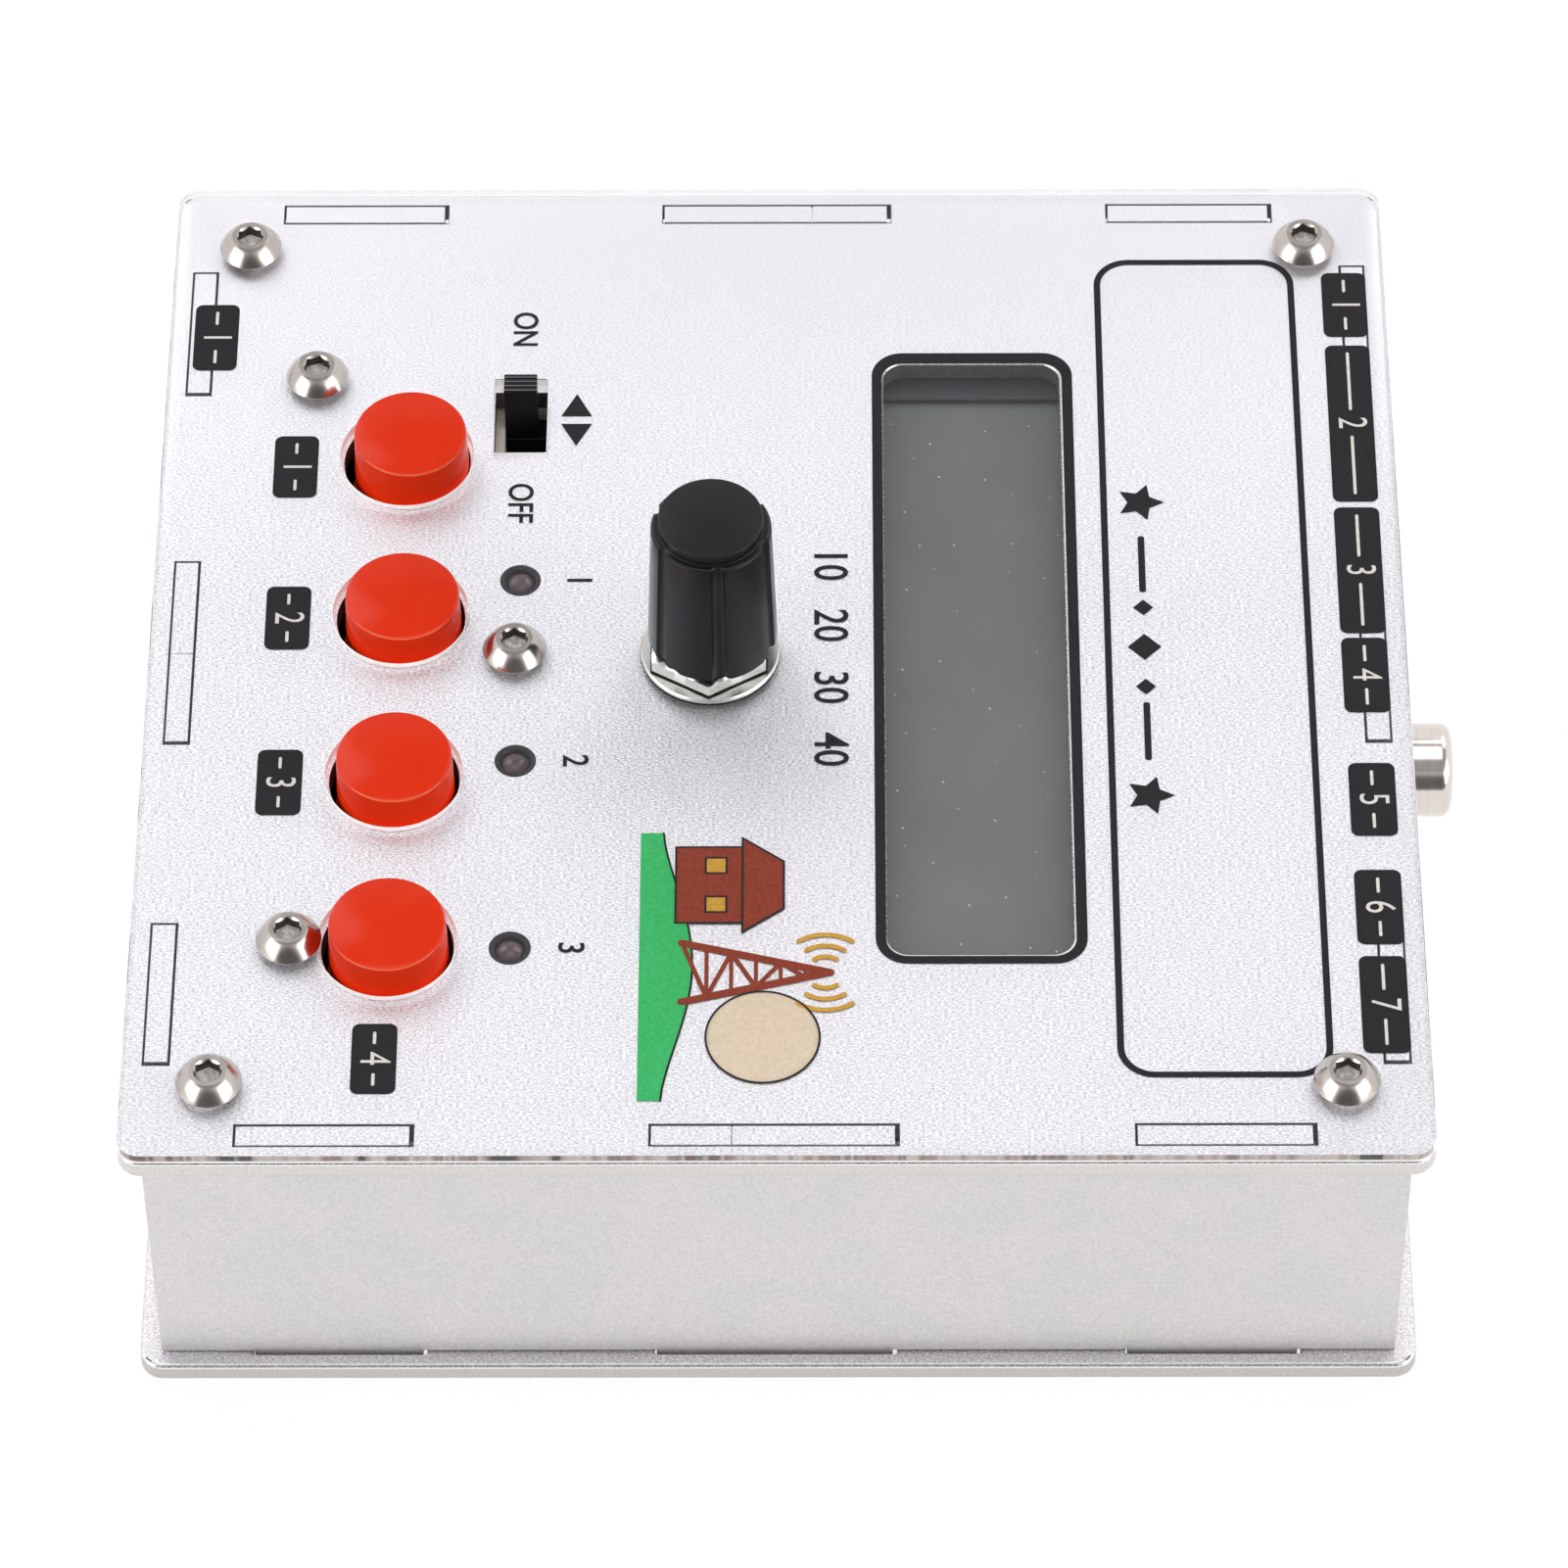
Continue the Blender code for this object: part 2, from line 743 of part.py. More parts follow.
def make_display_board(material):
    bm = bmesh.new()
    outline = box_outline(display_x, display_y, display_board_length, display_board_width)
    add_prism(bm, outline, display_board_low, display_board_top)
    board = new_part("display_board", bm, material)
    board_back = display_y + display_board_width / 2
    header_y = board_back - display_header_inset - display_header_width / 2
    header = bmesh.new()
    header_outline = box_outline(display_x, header_y, display_header_length, display_header_width)
    add_prism(header, header_outline, parts_low, display_board_low + overlap)
    join(board, header)
    hole_x = display_board_length / 2 - display_hole_inset
    hole_y = display_board_width / 2 - display_hole_inset
    holes = []
    for sx, sy in ((-1, -1), (1, -1), (1, 1), (-1, 1)):
        place = (display_x + sx * hole_x, display_y + sy * hole_y)
        holes.append(round_outline(*place, display_hole_radius, small_steps))
    cut(board, through_cutter(holes, display_board_low, display_board_top))


def make_display_bezel(material):
    """A steel tray turned upside down over the glass, open over the lines of characters."""
    shell = bmesh.new()
    add_prism(shell, box_outline(display_x, display_y, bezel_length, bezel_width), bezel_low, bezel_top)
    bezel = new_part("display_bezel", shell, material)
    room = bmesh.new()
    room_outline = box_outline(display_x, display_y, bezel_room_length, bezel_room_width)
    add_prism(room, room_outline, bezel_low - overrun, bezel_top - bezel_sheet)
    cut(bezel, room)
    view = box_outline(display_x, display_y, view_length, view_width)
    cut(bezel, through_cutter([view], bezel_low, bezel_top))


def make_display_layers(glass_material, backlight_material):
    """The glass and the light block behind it, both inside the bezel."""
    length = bezel_room_length - 2 * fit_gap
    width = bezel_room_width - 2 * fit_gap
    inside = box_outline(display_x, display_y, length, width)
    glass = bmesh.new()
    add_prism(glass, inside, glass_low, glass_top)
    new_part("display_glass", glass, glass_material)
    backlight = bmesh.new()
    add_prism(backlight, inside, display_board_top + seat_gap, glass_low - seat_gap)
    new_part("display_backlight", backlight, backlight_material)


# Buttons

def make_buttons(cap_material, switch_material):
    switch_top = control_parts_low + tact_height
    bore_floor = control_parts_low + tact_floor
    flange_low = switch_top + button_travel + fit_gap
    flange_top = flange_low + flange_thickness
    cap_top = cover_top + cap_rise
    stem_low = bore_floor + button_travel + seat_gap
    inner_radius = cap_top_radius - cap_wall
    dish_radius = cap_top_radius - cap_edge - cap_rim
    profile = [(dish_radius, cap_top - cap_dish), (cap_top_radius - cap_edge, cap_top)]
    for turn in (pi / 4, pi / 2):
        radius = cap_top_radius - cap_edge * (1 - sin(turn))
        profile.append((radius, cap_top - cap_edge * (1 - cos(turn))))
    profile += [(cap_deck_radius, cover_top), (cap_deck_radius, flange_top), (flange_radius, flange_top)]
    profile += [(flange_radius, flange_low), (inner_radius, flange_low)]
    profile += [(inner_radius, cap_top - cap_roof), (cap_stem_radius, cap_top - cap_roof)]
    profile.append((cap_stem_radius, stem_low))
    bm = bmesh.new()
    add_turned(bm, profile, cap_steps)
    cap_mesh = None
    switch_mesh = None
    for number, place in enumerate(button_places(), 1):
        cap = new_part(f"button_cap_{number}", cap_mesh or bm, cap_material, (*place, 0.0))
        cap_mesh = cap.data
        if switch_mesh:
            new_part(f"button_switch_{number}", switch_mesh, switch_material, (*place, 0.0))
            continue
        body = bmesh.new()
        outline = box_outline(0.0, 0.0, tact_side, tact_side)
        crown_side = tact_side - 2 * tact_chamfer
        crown = box_outline(0.0, 0.0, crown_side, crown_side)
        shoulder = switch_top - tact_chamfer
        add_loft(body, [(outline, control_parts_low), (outline, shoulder), (crown, switch_top)])
        switch = new_part(f"button_switch_{number}", body, switch_material, (*place, 0.0))
        bore = bmesh.new()
        mouth = round_outline(0.0, 0.0, cap_stem_radius + stem_gap, small_steps)
        add_prism(bore, mouth, bore_floor, switch_top + overrun)
        switch_mesh = settle(switch, [cut(switch, bore)])


# Slide switch

def lever_outline(low, high):
    """The lever from its side: its top is notched into ribs across the thumb's path."""
    half = lever_length / 2
    rib = lever_length / lever_ribs
    points = [(-half, low), (half, low), (half, high)]
    for number in range(1, lever_ribs):
        middle = half - rib * number
        points += [(middle + rib / 4, high), (middle, high - lever_rib_depth), (middle - rib / 4, high)]
    points.append((-half, high))
    return points


def make_slide_switch(body_material, lever_material):
    body_top = deck_under - fit_gap
    pocket_floor = body_top - slide_pocket_depth
    length = slide_pocket_length + 2 * slide_end_wall
    outline = box_outline(0.0, 0.0, length, slide_body_width)
    crown_width = slide_body_width - 2 * slide_body_chamfer
    crown = box_outline(0.0, 0.0, length - 2 * slide_body_chamfer, crown_width)
    rings = [(outline, control_parts_low), (outline, body_top - slide_body_chamfer), (crown, body_top)]
    bm = bmesh.new()
    add_loft(bm, rings)
    switch_x = slide_x + slide_switch_offset
    body = new_part("slide_switch_body", bm, body_material, (switch_x, slide_y, 0.0))
    pocket = bmesh.new()
    mouth = box_outline(0.0, 0.0, slide_pocket_length, slide_pocket_width)
    add_prism(pocket, mouth, pocket_floor, body_top + overrun)
    cut(body, pocket)
    lever = bmesh.new()
    side = lever_outline(pocket_floor + fit_gap, cover_top + lever_rise)
    add_prism(lever, side, -lever_width / 2, lever_width / 2)
    rest = (switch_x - slide_travel / 2, slide_y, 0.0)
    new_part("slide_switch_lever", lever, lever_material, rest, front_facing)


# Rotary encoder

def fluted_outline(radius, depth):
    """A round outline with narrow flutes, one in the middle of each sector."""
    shares = [0.0, 0.2, 0.34, 0.42, 0.5, 0.58, 0.66, 0.8]
    deep_shares = [0.0, 0.0, 0.0, 0.75, 1.0, 0.75, 0.0, 0.0]
    points = []
    for flute in range(knob_flutes):
        for share, deep_share in zip(shares, deep_shares):
            turn = 2 * pi * (flute + share) / knob_flutes
            reach = radius - depth * deep_share
            points.append((reach * cos(turn), reach * sin(turn)))
    return points


def make_knob(material):
    shoulder = knob_top - knob_disc_height
    shoulder_radius = knob_base_radius - knob_taper
    disc_radius = shoulder_radius - knob_ledge
    outside = [(knob_base_radius - knob_edge, knob_low, flute_depth)]
    outside.append((knob_base_radius, knob_low + knob_edge, flute_depth))
    for turn in (0.0, pi / 6, pi / 3, pi / 2):
        radius = shoulder_radius - knob_round * (1 - cos(turn))
        height = shoulder - knob_round * (1 - sin(turn))
        outside.append((radius, height, flute_depth * cos(turn / 2)))
    outside += [(disc_radius, shoulder + knob_edge / 2, 0.0), (disc_radius, knob_top - knob_edge / 2, 0.0)]
    outside.append((disc_radius - knob_edge / 2, knob_top, 0.0))
    bm = bmesh.new()
    add_loft(bm, [(fluted_outline(radius, depth), height) for radius, height, depth in outside])
    knob = new_part("control_knob", bm, material, (encoder_x, encoder_y, 0.0))
    room = bmesh.new()
    mouth = bush_radius + knob_bush_gap
    room_top = bush_top + push_travel + fit_gap
    bore = shaft_radius + thread_gap
    shaft_hole = [(mouth, knob_low - overrun), (mouth, room_top), (bore, room_top)]
    shaft_hole.append((bore, knob_top - knob_roof))
    add_turned(room, shaft_hole, hole_steps)
    cut(knob, room)


def make_encoder(body_material, metal, rotor_material):
    """A steel box with a threaded bush; a rotor turns inside it on the end of the shaft."""
    place = (encoder_x, encoder_y, 0.0)
    low = control_parts_low
    bm = bmesh.new()
    add_prism(bm, box_outline(0.0, 0.0, encoder_length, encoder_width), low, encoder_top)
    body = new_part("encoder_body", bm, body_material, place)
    bush = bmesh.new()
    add_prism(bush, round_outline(0.0, 0.0, bush_radius), encoder_top - overlap, bush_top)
    join(body, bush)
    cavity_low = low + encoder_wall
    cavity_top = encoder_top - encoder_wall
    cavity_radius = encoder_width / 2 - encoder_wall
    hollow = [(cavity_radius, cavity_low), (cavity_radius, cavity_top)]
    hollow += [(shaft_bore, cavity_top), (shaft_bore, bush_top + overrun)]
    room = bmesh.new()
    add_turned(room, hollow, hole_steps)
    cut(body, room)

    rotor_low = cavity_low + (cavity_top - cavity_low - rotor_thickness) / 2
    rotor_top = rotor_low + rotor_thickness
    rotor_radius = cavity_radius - rotor_gap
    rotor_bore = shaft_tip_radius + thread_gap
    rim = [(rotor_radius, rotor_low), (rotor_radius, rotor_top)]
    rim += [(rotor_bore, rotor_top), (rotor_bore, rotor_low)]
    rotor = bmesh.new()
    add_turned(rotor, rim, hole_steps, closed=True)
    new_part("encoder_rotor", rotor, rotor_material, place)

    collar = rotor_top + push_travel + thread_gap
    tip = cavity_low + push_travel + thread_gap
    stem = [(shaft_radius - shaft_gap, shaft_top), (shaft_radius, shaft_top - shaft_gap)]
    stem += [(shaft_radius, collar), (shaft_tip_radius, collar), (shaft_tip_radius, tip)]
    shaft = bmesh.new()
    add_turned(shaft, stem, hole_steps)
    new_part("encoder_shaft", shaft, metal, place)


def make_washer_and_nut(material):
    place = (encoder_x, encoder_y, 0.0)
    washer = bmesh.new()
    band = [(washer_radius, washer_low), (washer_radius, washer_top)]
    band += [(nut_hole, washer_top), (nut_hole, washer_low)]
    add_turned(washer, band, cap_steps, closed=True)
    new_part("encoder_washer", washer, material, place)

    nut = bmesh.new()
    add_prism(nut, hexagon_outline(2 * (bush_radius + nut_wall)), nut_low, nut_top)
    nut_part = new_part("encoder_nut", nut, material, place)
    cut(nut_part, through_cutter([round_outline(0.0, 0.0, nut_hole)], nut_low, nut_top))


# Lamps

def make_lamps(material):
    tip = deck_top - lamp_sink
    shoulder = tip - lamp_radius
    spacer_top = shoulder - lamp_rim
    spacer = lamp_radius + lamp_spacer_wall
    profile = [(spacer, control_parts_low), (spacer, spacer_top)]
    profile += [(lamp_radius, spacer_top)]
    for turn in (0.0, pi / 6, pi / 3, 5 * pi / 12):
        profile.append((lamp_radius * cos(turn), shoulder + lamp_radius * sin(turn)))
    bm = bmesh.new()
    add_turned(bm, profile, small_steps)
    mesh = None
    for number, place in enumerate(lamp_places(), 1):
        mesh = new_part(f"lamp_{number}", mesh or bm, material, (*place, 0.0)).data


# Sockets, drawn in the frame of the wall that they look out of

def make_usb_socket(name, x, facing, width, height, depth, tongue, material):
    """A folded shell with a tongue standing in its mouth."""
    middle = parts_low + usb_stand + height / 2
    mouth = wall_outer + seat_gap
    back = mouth - depth
    bm = bmesh.new()
    add_prism(bm, rounded_outline(x, middle, width, height, usb_corner), back, mouth)
    socket = new_part(name, bm, material, facing=facing)
    room_width = width - 2 * usb_shell
    room_height = height - 2 * usb_shell
    room = box_outline(x, middle, room_width, room_height)
    blade = box_outline(x, middle, room_width - 2 * tongue_gap, tongue)
    floor = back + usb_back
    tip = mouth - usb_back
    rings = [(room, floor), (room, mouth + overrun), (blade, mouth + overrun), (blade, floor)]
    hollow = bmesh.new()
    add_loft(hollow, rings, closed=True)
    cut(socket, hollow)
    trim = bmesh.new()
    add_prism(trim, room, tip, mouth + overrun)
    cut(socket, trim)


def make_audio_jack(name, x, material):
    face = wall_inner - fit_gap
    middle = parts_low + jack_body_height / 2
    bm = bmesh.new()
    body = box_outline(x, middle, jack_body_width, jack_body_height)
    add_prism(bm, body, face - jack_body_depth, face)
    jack = new_part(name, bm, material, facing=back_facing)
    nose = bmesh.new()
    mouth = wall_outer + seat_gap
    add_prism(nose, round_outline(x, middle, jack_nose_radius), face - overlap, mouth)
    join(jack, nose)
    bore = bmesh.new()
    plug_way = round_outline(x, middle, jack_bore_radius, small_steps)
    add_prism(bore, plug_way, face - jack_body_depth + jack_body_back, mouth + overrun)
    cut(jack, bore)


def make_phono_jack(material):
    face = wall_inner - fit_gap
    middle = parts_low + phono_axis_height
    body_middle = parts_low + phono_body_height / 2
    mouth = wall_outer + phono_reach
    x = -phono_x
    bm = bmesh.new()
    body = box_outline(x, body_middle, phono_body_width, phono_body_height)
    add_prism(bm, body, face - phono_body_depth, face)
    jack = new_part("phono_jack", bm, material, facing=back_facing)
    profile = [(phono_radius, face - overlap)]
    for turn in (0.0, pi / 6, pi / 3, pi / 2):
        radius = phono_radius - phono_round * (1 - cos(turn))
        profile.append((radius, mouth - phono_round * (1 - sin(turn))))
    shell = bmesh.new()
    add_turned(shell, profile, hole_steps, x, middle)
    join(jack, shell)
    rim = phono_radius - phono_round - phono_lip
    recess = mouth - phono_recess
    way = [(phono_bore_radius, mouth - phono_depth), (phono_bore_radius, recess)]
    way += [(rim, recess), (rim, mouth + overrun)]
    bore = bmesh.new()
    add_turned(bore, way, hole_steps, x, middle)
    cut(jack, bore)


def make_sockets(shell_material, jack_material, phono_material):
    small = (small_usb_width, small_usb_height, small_usb_depth, small_usb_tongue)
    host = (host_usb_width, host_usb_height, host_usb_depth, host_usb_tongue)
    make_usb_socket("front_usb_socket", front_usb_x, front_facing, *small, shell_material)
    make_usb_socket("back_usb_socket", -back_usb_x, back_facing, *small, shell_material)
    make_usb_socket("usb_host_socket", -host_usb_x, back_facing, *host, shell_material)
    for number, x in enumerate(jack_places, 1):
        make_audio_jack(f"audio_jack_{number}", -x, jack_material)
    make_phono_jack(phono_material)


def main():
    for item in list(bpy.data.objects):
        bpy.data.objects.remove(item, do_unlink=True)

    sheet = new_material("blasted_aluminium", (0.80, 0.80, 0.82), 0.45, metallic=0.9)
    wall_sheet = new_material("satin_aluminium", (0.68, 0.67, 0.66), 0.5, metallic=0.6)
    acrylic = new_material("clear_acrylic", (0.95, 0.96, 0.97), 0.05, alpha=0.25)
    steel = new_material("stainless_steel", (0.62, 0.61, 0.60), 0.2, metallic=1.0)
    nickel = new_material("nickel_plate", (0.70, 0.68, 0.64), 0.18, metallic=1.0)
    brass = new_material("brass", (0.72, 0.53, 0.25), 0.3, metallic=1.0)
    board = new_material("green_board", (0.03, 0.20, 0.09), 0.4)
    red = new_material("red_plastic", (0.80, 0.07, 0.03), 0.3)
    black = new_material("black_plastic", (0.02, 0.02, 0.02), 0.35)
    black_steel = new_material("black_steel", (0.025, 0.025, 0.03), 0.4)
    glass = new_material("display_glass", (0.16, 0.17, 0.16), 0.15)
    diffuser = new_material("white_diffuser", (0.80, 0.80, 0.76), 0.6)
    lens = new_material("smoked_lens", (0.09, 0.06, 0.06), 0.2)

    make_base_plate(sheet)
    make_top_plate(sheet)
    make_cover_sheet(acrylic)
    make_walls(wall_sheet)
    make_button_head_screws(steel)
    make_base_screws(steel)
    make_lower_spacers(brass)
    make_corner_posts(brass)
    make_main_board(board)
    make_control_board(board)
    make_buzzer(black)
    make_display_board(board)
    make_display_bezel(black_steel)
    make_display_layers(glass, diffuser)
    make_buttons(red, black)
    make_slide_switch(steel, black)
    make_encoder(steel, nickel, black)
    make_washer_and_nut(nickel)
    make_knob(black)
    make_lamps(lens)
    make_sockets(nickel, black, nickel)


main()
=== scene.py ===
"""Looks of the morse code keyer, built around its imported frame.

X runs to the user's right, Y away from the user, Z up. The photograph is taken from the user's
right, so the sockets' wall is on its right side. Lengths are millimetres; they become metres only
where an object, a texture or the camera is made.
"""

from math import atan2, copysign, cos, hypot, pi, radians, sin
from random import Random

import bmesh
import bpy
from mathutils import Matrix, Vector
from mathutils.geometry import tessellate_polygon


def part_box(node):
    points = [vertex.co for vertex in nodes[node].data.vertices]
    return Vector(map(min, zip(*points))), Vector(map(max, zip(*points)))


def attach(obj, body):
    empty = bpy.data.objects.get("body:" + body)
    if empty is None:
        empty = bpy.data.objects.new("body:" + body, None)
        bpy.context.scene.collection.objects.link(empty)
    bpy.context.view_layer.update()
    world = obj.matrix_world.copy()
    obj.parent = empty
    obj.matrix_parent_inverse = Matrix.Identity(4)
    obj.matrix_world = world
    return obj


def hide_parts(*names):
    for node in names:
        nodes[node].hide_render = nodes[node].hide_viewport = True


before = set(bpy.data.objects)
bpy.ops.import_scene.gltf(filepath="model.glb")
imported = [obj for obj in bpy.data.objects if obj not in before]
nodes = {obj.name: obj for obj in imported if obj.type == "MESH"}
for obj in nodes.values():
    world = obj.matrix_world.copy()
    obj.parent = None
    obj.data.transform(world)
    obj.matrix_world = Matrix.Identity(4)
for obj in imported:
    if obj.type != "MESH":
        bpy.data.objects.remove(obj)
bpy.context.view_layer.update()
mm = 0.001


def extent(name):
    """The corners of a CAD node, its middle and its size."""
    low, high = (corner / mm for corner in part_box(name))
    return low, high, (low + high) / 2, high - low


def middle_of(name):
    return extent(name)[2]


def numbered(stem, count):
    return [f"{stem}_{number}" for number in range(1, count + 1)]


plate_low, plate_high = extent("top_plate")[:2]
base_low, base_high = extent("base_plate")[:2]
cover_low, cover_high = extent("cover_sheet")[:2]
deck = plate_high.z
half = (plate_high.x - plate_low.x) / 2


def add_object(name, data):
    made = bpy.data.objects.new(name, data)
    bpy.context.scene.collection.objects.link(made)
    return made


# Camera: found from the plate's four corners in the photograph

camera_height = radians(50.952)
camera_turn = radians(0.404)
camera_roll = radians(0.404)
camera_distance = 709.74
nearest_seen = 10.0
film_width = 36.0
lens_length = 183.07
aim_right = -0.147
aim_down = -3.118


def make_camera():
    """Looks towards -X and down; the cover's middle lies aim_right, aim_down off the film's middle."""
    level_reach = cos(camera_height)
    forward = -Vector((level_reach * cos(camera_turn), level_reach * sin(camera_turn), sin(camera_height)))
    level = Vector((-sin(camera_turn), cos(camera_turn), 0.0))
    down = forward.cross(level)
    right = cos(camera_roll) * level + sin(camera_roll) * down
    down = cos(camera_roll) * down - sin(camera_roll) * level
    aside = (right * aim_right + down * aim_down) / lens_length * camera_distance
    place = Vector((0.0, 0.0, cover_high.z)) - forward * camera_distance - aside
    data = bpy.data.cameras.new("camera")
    data.sensor_width = film_width
    data.lens = lens_length
    data.clip_start = nearest_seen * mm
    camera = add_object("camera", data)
    turned_to = Matrix((right, -down, -forward)).transposed().to_4x4()
    camera.matrix_world = Matrix.Translation(place * mm) @ turned_to
    bpy.context.scene.camera = camera


# Shader nodes

# Most of a noise's values lie between these
noise_span = (0.3, 0.7)
white = (1.0, 1.0, 1.0, 1.0)


def colour(code):
    """An sRGB hex value as linear red, green, blue and alpha."""
    parts = [int(code[at:at + 2], 16) / 255 for at in (1, 3, 5)]
    return (*(part / 12.92 if part <= 0.04045 else ((part + 0.055) / 1.055) ** 2.4 for part in parts), 1.0)


def feed(node, name, value):
    """Links a source to a node's socket, or gives the socket a value of its own."""
    if isinstance(value, bpy.types.NodeSocket):
        node.id_data.links.new(value, node.inputs[name])
    else:
        node.inputs[name].default_value = value


def add(tree, kind, inputs=None, output=0, **settings):
    """Adds a node and returns one of its outputs. Settings are the node's own fields; inputs says
    what each of its sockets takes."""
    made = tree.nodes.new("ShaderNode" + kind)
    for name, value in settings.items():
        setattr(made, name, value)
    for name, value in (inputs or {}).items():
        feed(made, name, value)
    return made.outputs[output]


def give(shader, **values):
    """Feeds the shader's sockets, named with _ for each space."""
    for key, value in values.items():
        feed(shader, key.replace("_", " ").title().replace("Ior", "IOR"), value)


def surface(name, **values):
    """A material with one Principled shader, its node tree and that shader."""
    material = bpy.data.materials.new(name)
    material.use_nodes = True
    shader = material.node_tree.nodes["Principled BSDF"]
    give(shader, **values)
    return material, material.node_tree, shader


def show(tree, source):
    feed(tree.nodes["Material Output"], "Surface", source)


def pattern(tree, size, stretch=(1.0, 1.0, 1.0), kind="TexNoise", **values):
    """A texture whose features are about that size, stretched along the part's axes."""
    place = add(tree, "TexCoord", output="Object")
    scaled = add(tree, "Mapping", {"Vector": place, "Scale": [1 / share for share in stretch]})
    return add(tree, kind, {"Vector": scaled, "Scale": 1 / (size * mm), **values})


def ramp(source, *stops):
    """Colours by a texture's value; each stop is a place between 0 and 1 and an sRGB value."""
    made = add(source.id_data, "ValToRGB", {"Fac": source})
    elements = made.node.color_ramp.elements
    for at, (place, shade) in enumerate(stops):
        stop = elements[at] if at < 2 else elements.new(place)
        stop.position = place
        stop.color = colour(shade)
    return made


def blend_colours(source, dark, light, low=noise_span[0], high=noise_span[1]):
    return ramp(source, (low, dark), (high, light))


def spread(source, low, high, start=noise_span[0], end=noise_span[1]):
    """Maps a texture's value from start..end to low..high."""
    values = {"Value": source, "From Min": start, "From Max": end, "To Min": low, "To Max": high}
    return add(source.id_data, "MapRange", values)


def along(tree, axis, start, end, low=0.0, high=1.0):
    """Runs from low to high between two places on one of the part's axes."""
    place = add(tree, "SeparateXYZ", {"Vector": add(tree, "TexCoord", output="Object")}, axis)
    return spread(place, low, high, start * mm, end * mm)


def relief(shader, source, depth, strength=1.0):
    """Bump from a texture, that deep."""
    values = {"Height": source, "Distance": depth * mm, "Strength": strength}
    give(shader, normal=add(shader.id_data, "Bump", values))


def maths(operation, first, second):
    return add(first.id_data, "Math", {0: first, 1: second}, operation=operation)


def mix_colours(tree, share, first, second, blend_type="MIX"):
    return add(tree, "MixRGB", {"Fac": share, "Color1": first, "Color2": second}, blend_type=blend_type)


def mix_shaders(tree, share, first, second):
    return add(tree, "MixShader", {0: share, 1: first, 2: second})


# Metals

def finish(name, dark, light, grain, stretch=(1.0, 1.0, 1.0), detail=2.0, between=noise_span,
           rough=None, bump=None, **values):
    """A material that runs from dark to light with a noise of that grain. rough is the range of its
    roughness, bump the depth and strength of its relief, values are the shader's own sockets."""
    material, tree, shader = surface(name, **values)
    noise = pattern(tree, grain, stretch, Detail=detail)
    give(shader, base_color=blend_colours(noise, dark, light, *between))
    if rough:
        give(shader, roughness=spread(noise, *rough))
    if bump:
        relief(shader, noise, *bump)
    return material


def blasted_aluminium():
    """Aluminium sheet, glass-bead blasted: near-white silver, with a fine crinkle that shows more
    towards the user's right; towards the far end its colour is painted flat and paler, a painted highlight."""
    material, tree, shader = surface("blasted_aluminium", metallic=1.0)
    grain = pattern(tree, 0.2, (0.75, 1.5, 1.0), Detail=2.0, Roughness=0.6)
    crisp = along(tree, "X", -half * 0.9, -half * 0.1, low=0.2)
    speckle = blend_colours(grain, "#C4C1C5", "#F8F5F9", 0.34, 0.6)
    # Towards the far end the speckle gives way to a flat paler tint: a painted highlight for the part washed
    # out by the lamps.
    tint = mix_colours(tree, crisp, colour("#EEEBEF"), speckle)
    give(shader, base_color=tint, roughness=spread(grain, 0.34, 0.48))
    relief(shader, grain, 0.1, crisp)
    return material


def cut_aluminium(name, dark, light, metallic=0.9, rough=0.48):
    """A laser-cut or rounded edge of the sheet: matt and finely speckled."""
    return finish(name, dark, light, grain=0.2, between=(0.35, 0.65), rough=(rough - 0.06, rough + 0.06),
                  bump=(0.02, 0.5), metallic=metallic)


def satin_aluminium():
    """Aluminium sheet, fine-blasted and clear-anodised: a matt, slightly warm and faintly mottled grey."""
    material, tree, shader = surface("satin_aluminium", metallic=0.85)
    grain = pattern(tree, 0.3, Detail=4.0, Roughness=0.7)
    tint = blend_colours(grain, "#D5D3D2", "#EDEBEB")
    mottle = blend_colours(pattern(tree, 7.0, Detail=3.0), "#FFFDFD", "#FAFBFA", 0.35, 0.65)
    tint = mix_colours(tree, 1.0, tint, mottle, "MULTIPLY")
    give(shader, base_color=tint, roughness=spread(grain, 0.5, 0.62))
    relief(shader, grain, 0.01, 0.5)
    return material


def screw_steel():
    """Stainless steel, cold-headed and tumbled: satin bright and slightly warm."""
    return finish("stainless_steel", "#BDB5B0", "#C8C1BC", grain=1.5, detail=3.0, rough=(0.19, 0.23),
                  metallic=1.0)


def socket_steel():
    """The screws' punched sockets: darker and browner than their heads, painted shade for the recess."""
    return finish("socket_steel", "#4A423D", "#6A615B", grain=0.5, rough=(0.3, 0.4), metallic=0.9)


def socket_floor():
    """The sockets' floors: rough from the punch, so they take the light from above, and painted paler than
    the heads as a painted highlight.
    """
    return finish("socket_floor", "#CFC8C2", "#FBF8F5", grain=0.6, between=(0.42, 0.58), rough=(0.5, 0.6),
                  metallic=0.5)


def nickel_plate():
    """Nickel on turned brass: warm and mirror bright, with faint turning lines."""
    return finish("nickel_plate", "#DCD5CE", "#E4DDD7", grain=0.4, stretch=(12.0, 1.0, 12.0),
                  rough=(0.13, 0.2), metallic=1.0)


def zinc_plate():
    """Zinc on steel, passivated: smooth, pale grey-green and a little dull."""
    return finish("zinc_plate", "#E2E4E0", "#ECEEEA", grain=3.0, rough=(0.24, 0.3), metallic=1.0)


def turned_brass():
    """Free-cutting brass, turned: yellow, with fine rings."""
    return finish("brass", "#B98F45", "#D9B469", grain=0.2, stretch=(6.0, 6.0, 1.0), rough=(0.2, 0.36),
                  metallic=1.0)


def gold_contact():
    """Gold flash on copper alloy: the sockets' contacts."""
    return finish("gold_contact", "#C79A3A", "#E3BC62", grain=0.3, rough=(0.2, 0.35), metallic=1.0)


